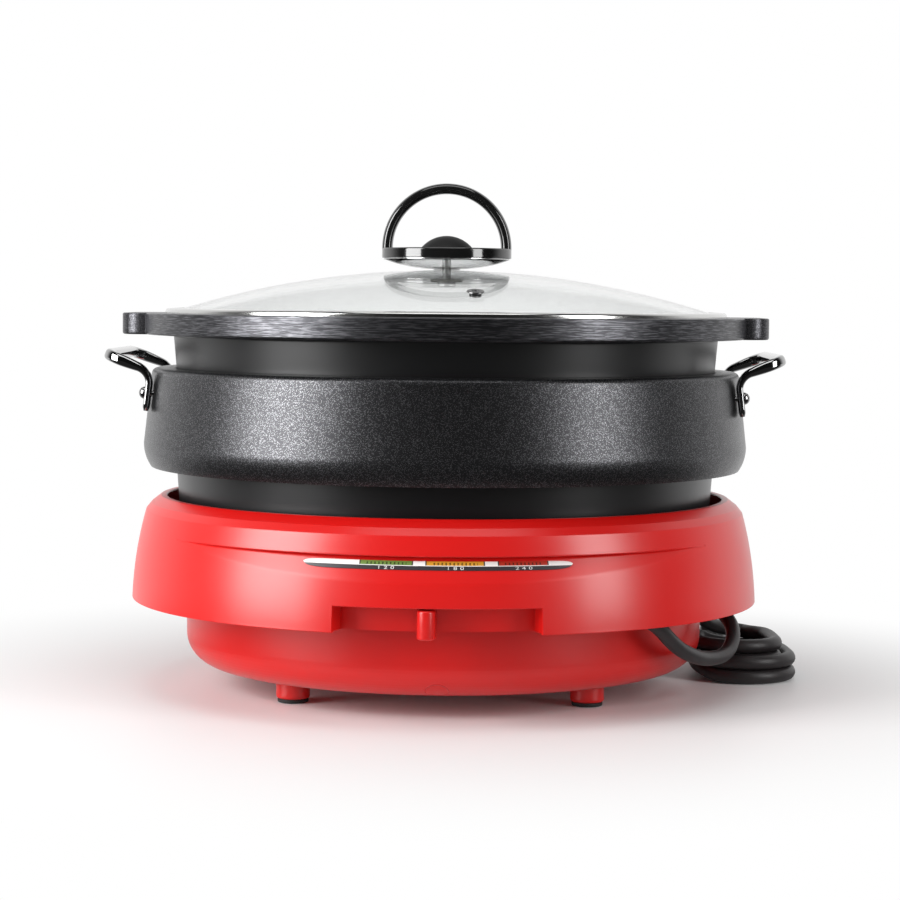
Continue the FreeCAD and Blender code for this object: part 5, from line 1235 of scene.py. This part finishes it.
def make_cord():
    """One smooth curve led by the lead's points, the coil's turns and the tail at the plug: it
    keeps close to them without passing through each."""
    into_plug = plug_frame()
    tail = [tuple(v / MM for v in into_plug @ Vector((0, 0, -d * MM))) for d in (12.0, 5.0, 0.0)]
    points = LEAD_POINTS + coil_points() + tail
    curve = bpy.data.curves.new("mains_lead", "CURVE")
    curve.dimensions = "3D"
    spline = curve.splines.new("NURBS")
    spline.points.add(len(points) - 1)
    for point, place in zip(spline.points, points):
        point.co = (*(v * MM for v in place), 1.0)
    spline.order_u = 3
    spline.use_endpoint_u = True
    spline.resolution_u = 8
    curve.bevel_depth = CORD_RADIUS * MM
    curve.bevel_resolution = 6
    curve.use_fill_caps = True
    lead = bpy.data.objects.new("mains_lead", curve)
    finish = plain_plastic("cord_rubber", (0.022, 0.018, 0.019, 1), 0.42, 0.52, 700.0, 0.2)
    finished(lead, finish, "base", ["cord_lead", "cord_coil"])
    return lead


def make_relief():
    """Tapered sleeve at the cord's exit with rounded ribs cut round it."""
    around, drop = BLOCK_END, math.radians(16.0)
    out, height, long, wide, narrow = 154.0, 63.0, 26.0, 7.0, 5.2
    rib_deep, rib_from, rib_step, rib_count = 0.45, 5.0, 3.5, 5.0
    seat = (out * math.sin(around), -out * math.cos(around), height)
    way = (math.cos(around) * math.cos(drop), math.sin(around) * math.cos(drop), -math.sin(drop))
    along = np.linspace(0, long, 79)
    taper = wide + (narrow - wide) * along / long
    rib_turn = 2 * np.pi * np.clip((along - rib_from) / rib_step, 0, rib_count)
    sleeve = np.stack([taper - rib_deep * (0.5 - 0.5 * np.cos(rib_turn)), along], axis=1)
    root = [[0, -5.0], [5.0, -5.0], [5.0, 0.0]]
    profile = np.vstack([root, sleeve, [[CORD_RADIUS + 0.05, long], [0, long]]])
    return piece("cord_relief", [(placed(turned(profile, 40), frame_at(seat, way)), True, False)],
                 PLUG_BLACK, "base", ["strain_relief"])


def make_plug():
    """Moulded plug: a rounded block that swells towards its face, with grip ribs and a relief."""
    wide, tall, long, start, neck, face_soft = 15.0, 24.0, 34.0, 13.0, 5.6, 2.0
    along = np.concatenate([np.linspace(0, start, 27), start + long * np.linspace(0.02, 1, 40)])
    share = eased((along - start + 1.0) / 7.0)
    ribs = 0.4 * np.cos(2 * np.pi * along / 3.2) * (along < start - 1.0)
    half_wide = (neck + ribs) * (1 - share) + wide / 2 * share
    half_tall = (neck + ribs) * (1 - share) + tall / 2 * share
    face = np.clip((along - (start + long - face_soft)) / face_soft, 0, 1)
    inset = face_soft * (1 - np.sqrt(np.clip(1 - face ** 2, 0, 1)))
    gripped = (along > start + 9) & (along < start + 27)
    grips = 0.35 * ((np.cos(2 * np.pi * (along - start) / 4.0) > 0.2) & gripped)
    centres = np.stack([0 * along, 0 * along, along], axis=1)
    ways = np.repeat([[0, 1.0, 0]], len(along), axis=0)
    wides = np.repeat([[1.0, 0, 0]], len(along), axis=0)
    grid = swept(centres, ways, wides, half_tall - inset, half_wide - inset - grips, 3.6, 48) * MM
    return piece("plug_body", [(placed(grid, plug_frame()), False, True)], PLUG_BLACK, "base",
                 ["power_plug"], sharp=40)


# --- finishes of the pieces that keep their construction shape ---------------------------------


# Metals: colour, low and high roughness, and how strong the turned lines are.
INNER_METALS = {
    "shield_steel": ((0.55, 0.55, 0.54, 1), 0.28, 0.4, 0.4),
    "plain_steel": ((0.45, 0.45, 0.44, 1), 0.3, 0.45, 0.0),
    "bright_steel": ((0.92, 0.92, 0.92, 1), 0.5, 0.6, 0.0),
    "sensor_aluminium": ((0.75, 0.75, 0.76, 1), 0.3, 0.4, 0.5),
    "blade_brass": ((0.72, 0.62, 0.38, 1), 0.15, 0.25, 0.0),
    "element_sheath": ((0.12, 0.105, 0.095, 1), 0.4, 0.55, 0.0),
}
# Plastics and ceramics: colour, low and high roughness.
INNER_PLASTICS = {
    "bush_ceramic": ((0.78, 0.74, 0.66, 1), 0.5, 0.65),
    "switch_plastic": ((0.05, 0.03, 0.02, 1), 0.35, 0.5),
    "terminal_plastic": ((0.70, 0.68, 0.62, 1), 0.35, 0.45),
    "wire_jacket": ((0.65, 0.6, 0.5, 1), 0.45, 0.6),
}
# The nodes that wear each finish.
INNER_PIECES = {
    "shield_steel": ["heat_shield"],
    "plain_steel": ["element_supports", "sensor_guide", "case_screws", "sensor_spring",
                    "thermostat_bracket", "thermostat_spindle", "temperature_lever"],
    "bright_steel": ["knob_screw"],
    "sensor_aluminium": ["sensor_cup"],
    "blade_brass": ["plug_blades"],
    "element_sheath": ["heating_element"],
    "bush_ceramic": ["element_bushes"],
    "switch_plastic": ["thermostat_body"],
    "terminal_plastic": ["terminal_block", "knob_washer"],
    "wire_jacket": ["thermal_fuse", "inner_wires"],
}


def dress_inner_pieces():
    """Gives each piece inside the base, and the small hardware, its own finish."""
    finishes = {name: polished_steel(name, *values) for name, values in INNER_METALS.items()}
    finishes |= {name: plain_plastic(name, *values) for name, values in INNER_PLASTICS.items()}
    for name, nodes in INNER_PIECES.items():
        for node in nodes:
            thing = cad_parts[node]
            thing.data.materials.clear()
            thing.data.materials.append(finishes[name])


# --- camera, light and floor -------------------------------------------------------------------

CAMERA_DISTANCE = 1.3757
CAMERA_HEIGHT = 0.2159
CAMERA_AZIMUTH = math.radians(1.1)
CAMERA_PITCH = math.radians(3.583)
CAMERA_YAW = math.radians(0.1172)
CAMERA_ROLL = math.radians(0.537)
CAMERA_LENS = 98.64
# Each softbox: name, angle round the pot in degrees, distance, height, its width and its height in
# metres, and its power in watts.
SOFTBOXES = [
    ("left_softbox", -60, 1.2, 0.5, 0.68, 0.95, 21),
    ("right_softbox", 57, 1.3, 0.5, 0.42, 0.9, 8.5),
    ("top_softbox", 0, 0.3, 1.5, 1.1, 0.9, 6),
]
LIT_HEIGHT = 0.11
# Where the table goes from its own colour to plain white, in metres from the axis: as seen, and as
# mirrored in the pot; and over which depth, front to back, its mirrored white goes from dark to full.
TABLE_FADE = (0.14, 0.42)
MIRROR_FADE = (0.12, 0.26)
MIRROR_DEPTH = (-0.1, 0.3)


def add_camera():
    """A long lens straight in front, at the height of the lid's glass, tipped slightly down."""
    data = bpy.data.cameras.new("camera")
    data.lens = CAMERA_LENS
    data.sensor_width = 36.0
    data.clip_end = 50.0
    camera = bpy.data.objects.new("camera", data)
    scene.collection.objects.link(camera)
    eye = Vector((math.sin(CAMERA_AZIMUTH), -math.cos(CAMERA_AZIMUTH), 0)) * CAMERA_DISTANCE
    eye.z = CAMERA_HEIGHT
    camera.matrix_world = (Matrix.Translation(eye)
                           @ Matrix.Rotation(CAMERA_AZIMUTH - CAMERA_YAW, 4, "Z")
                           @ Matrix.Rotation(math.pi / 2 - CAMERA_PITCH, 4, "X")
                           @ Matrix.Rotation(CAMERA_ROLL, 4, "Z"))
    scene.camera = camera


def add_softbox(name, azimuth, distance, height, wide, tall, power):
    """An area lamp at an angle round the pot, turned to a point at LIT_HEIGHT on the pot's axis."""
    data = bpy.data.lights.new(name, "AREA")
    data.shape = "RECTANGLE"
    data.size, data.size_y = wide, tall
    data.energy = power
    lamp = bpy.data.objects.new(name, data)
    scene.collection.objects.link(lamp)
    turn = math.radians(azimuth)
    place = Vector((math.sin(turn) * distance, -math.cos(turn) * distance, height))
    back = place - Vector((0, 0, LIT_HEIGHT))
    lamp.matrix_world = Matrix.Translation(place) @ back.to_track_quat("Z", "Y").to_matrix().to_4x4()


def light_world():
    """White all round for the eye and through glass; mirrored, the room is bright behind and dark
    in front and overhead."""
    world = bpy.data.worlds.new("studio")
    scene.world = world
    world.use_nodes = True
    tree = Tree(world.node_tree)
    background = world.node_tree.nodes["Background"]
    path = tree.add("ShaderNodeLightPath").outputs
    way = tree.parts(tree.add("ShaderNodeTexCoord").outputs["Generated"])
    behind = tree.stretch(way[1], -0.05, 0.55, 0.0, 1.0, smooth=True)
    low = tree.stretch(way[2], 0.6, 0.92, 1.0, 0.0, smooth=True)
    mirrored = tree.math("MULTIPLY_ADD", tree.math("MULTIPLY", behind, low), 0.99, 0.01)
    seen = tree.math("MAXIMUM", path["Is Camera Ray"], path["Is Transmission Ray"])
    glossy = tree.math("MULTIPLY", path["Is Glossy Ray"], mirrored)
    plain = tree.math("SUBTRACT", 1.0, tree.math("MAXIMUM", seen, path["Is Glossy Ray"]))
    level = tree.math("ADD", tree.math("MAXIMUM", seen, glossy), tree.math("MULTIPLY", plain, 0.22))
    tree.link(level, background.inputs["Strength"])
    background.inputs["Color"].default_value = (1, 1, 1, 1)


def add_floor():
    """Pale table, round, that fades to plain white away from the pot; mirrored, its front is dark,
    as the room is."""
    radius = np.array([0.0, 0.2, 0.4, 0.8, 1.6, 4.0, 12.0])
    angles = np.linspace(0, 2 * np.pi, 96, endpoint=False)[:, None]
    level = np.full((len(angles), len(radius)), -0.0002)
    grid = np.stack([radius * np.cos(angles), radius * np.sin(angles), level], axis=-1)
    mesh = bpy.data.meshes.new("table")
    mesh.from_pydata(grid.reshape(-1, 3).tolist(), [],
                     grid_quads(grid.shape, 0, True, False).reshape(-1, 4).tolist())
    table = bpy.data.objects.new("table", mesh)
    scene.collection.objects.link(table)
    material, tree, shader = new_finish("table_white", Roughness=0.5, Base_Color=(0.86, 0.85, 0.85, 1))
    spot = tree.spot()
    away = tree.vector("LENGTH", {0: spot}, "Value")
    depth = tree.parts(spot)[1]
    path = tree.add("ShaderNodeLightPath").outputs
    seen = tree.math("MAXIMUM", path["Is Camera Ray"], path["Is Transmission Ray"])
    far = tree.math("MULTIPLY", tree.stretch(away, *TABLE_FADE, smooth=True), seen)
    mirrored = tree.math("MULTIPLY", tree.stretch(away, *MIRROR_FADE, smooth=True), path["Is Glossy Ray"])
    fade = tree.math("MAXIMUM", far, mirrored)
    glow = tree.math("MAXIMUM", seen, tree.stretch(depth, *MIRROR_DEPTH, 0.03, 1.0, smooth=True))
    white = tree.add("ShaderNodeEmission", {"Strength": glow}).outputs[0]
    mixed = tree.add("ShaderNodeMixShader", {0: fade, 1: shader.outputs[0], 2: white}).outputs[0]
    tree.link(mixed, material.node_tree.nodes["Material Output"].inputs["Surface"])
    mesh.materials.append(material)


# --- the whole ---------------------------------------------------------------------------------

add_camera()
light_world()
for softbox in SOFTBOXES:
    add_softbox(*softbox)
add_floor()

cord_relief = make_relief()
plug_body = make_plug()
make_cord()
make_guard()
make_bowl()
make_foot_pads()
make_lever_knob()
make_scale_band()
make_scale_numbers()
make_pot()
make_ring()
make_handle("handle_bar_right", "pot_handle_right", 1)
make_handle("handle_bar_left", "pot_handle_left", -1)
make_rivets()
make_plate()
make_glass()
make_lid_rim()
make_eyelet()
make_knob_disc()
make_knob_arch()
make_knob_dome()
dress_inner_pieces()

scene.view_settings.view_transform = "Standard"
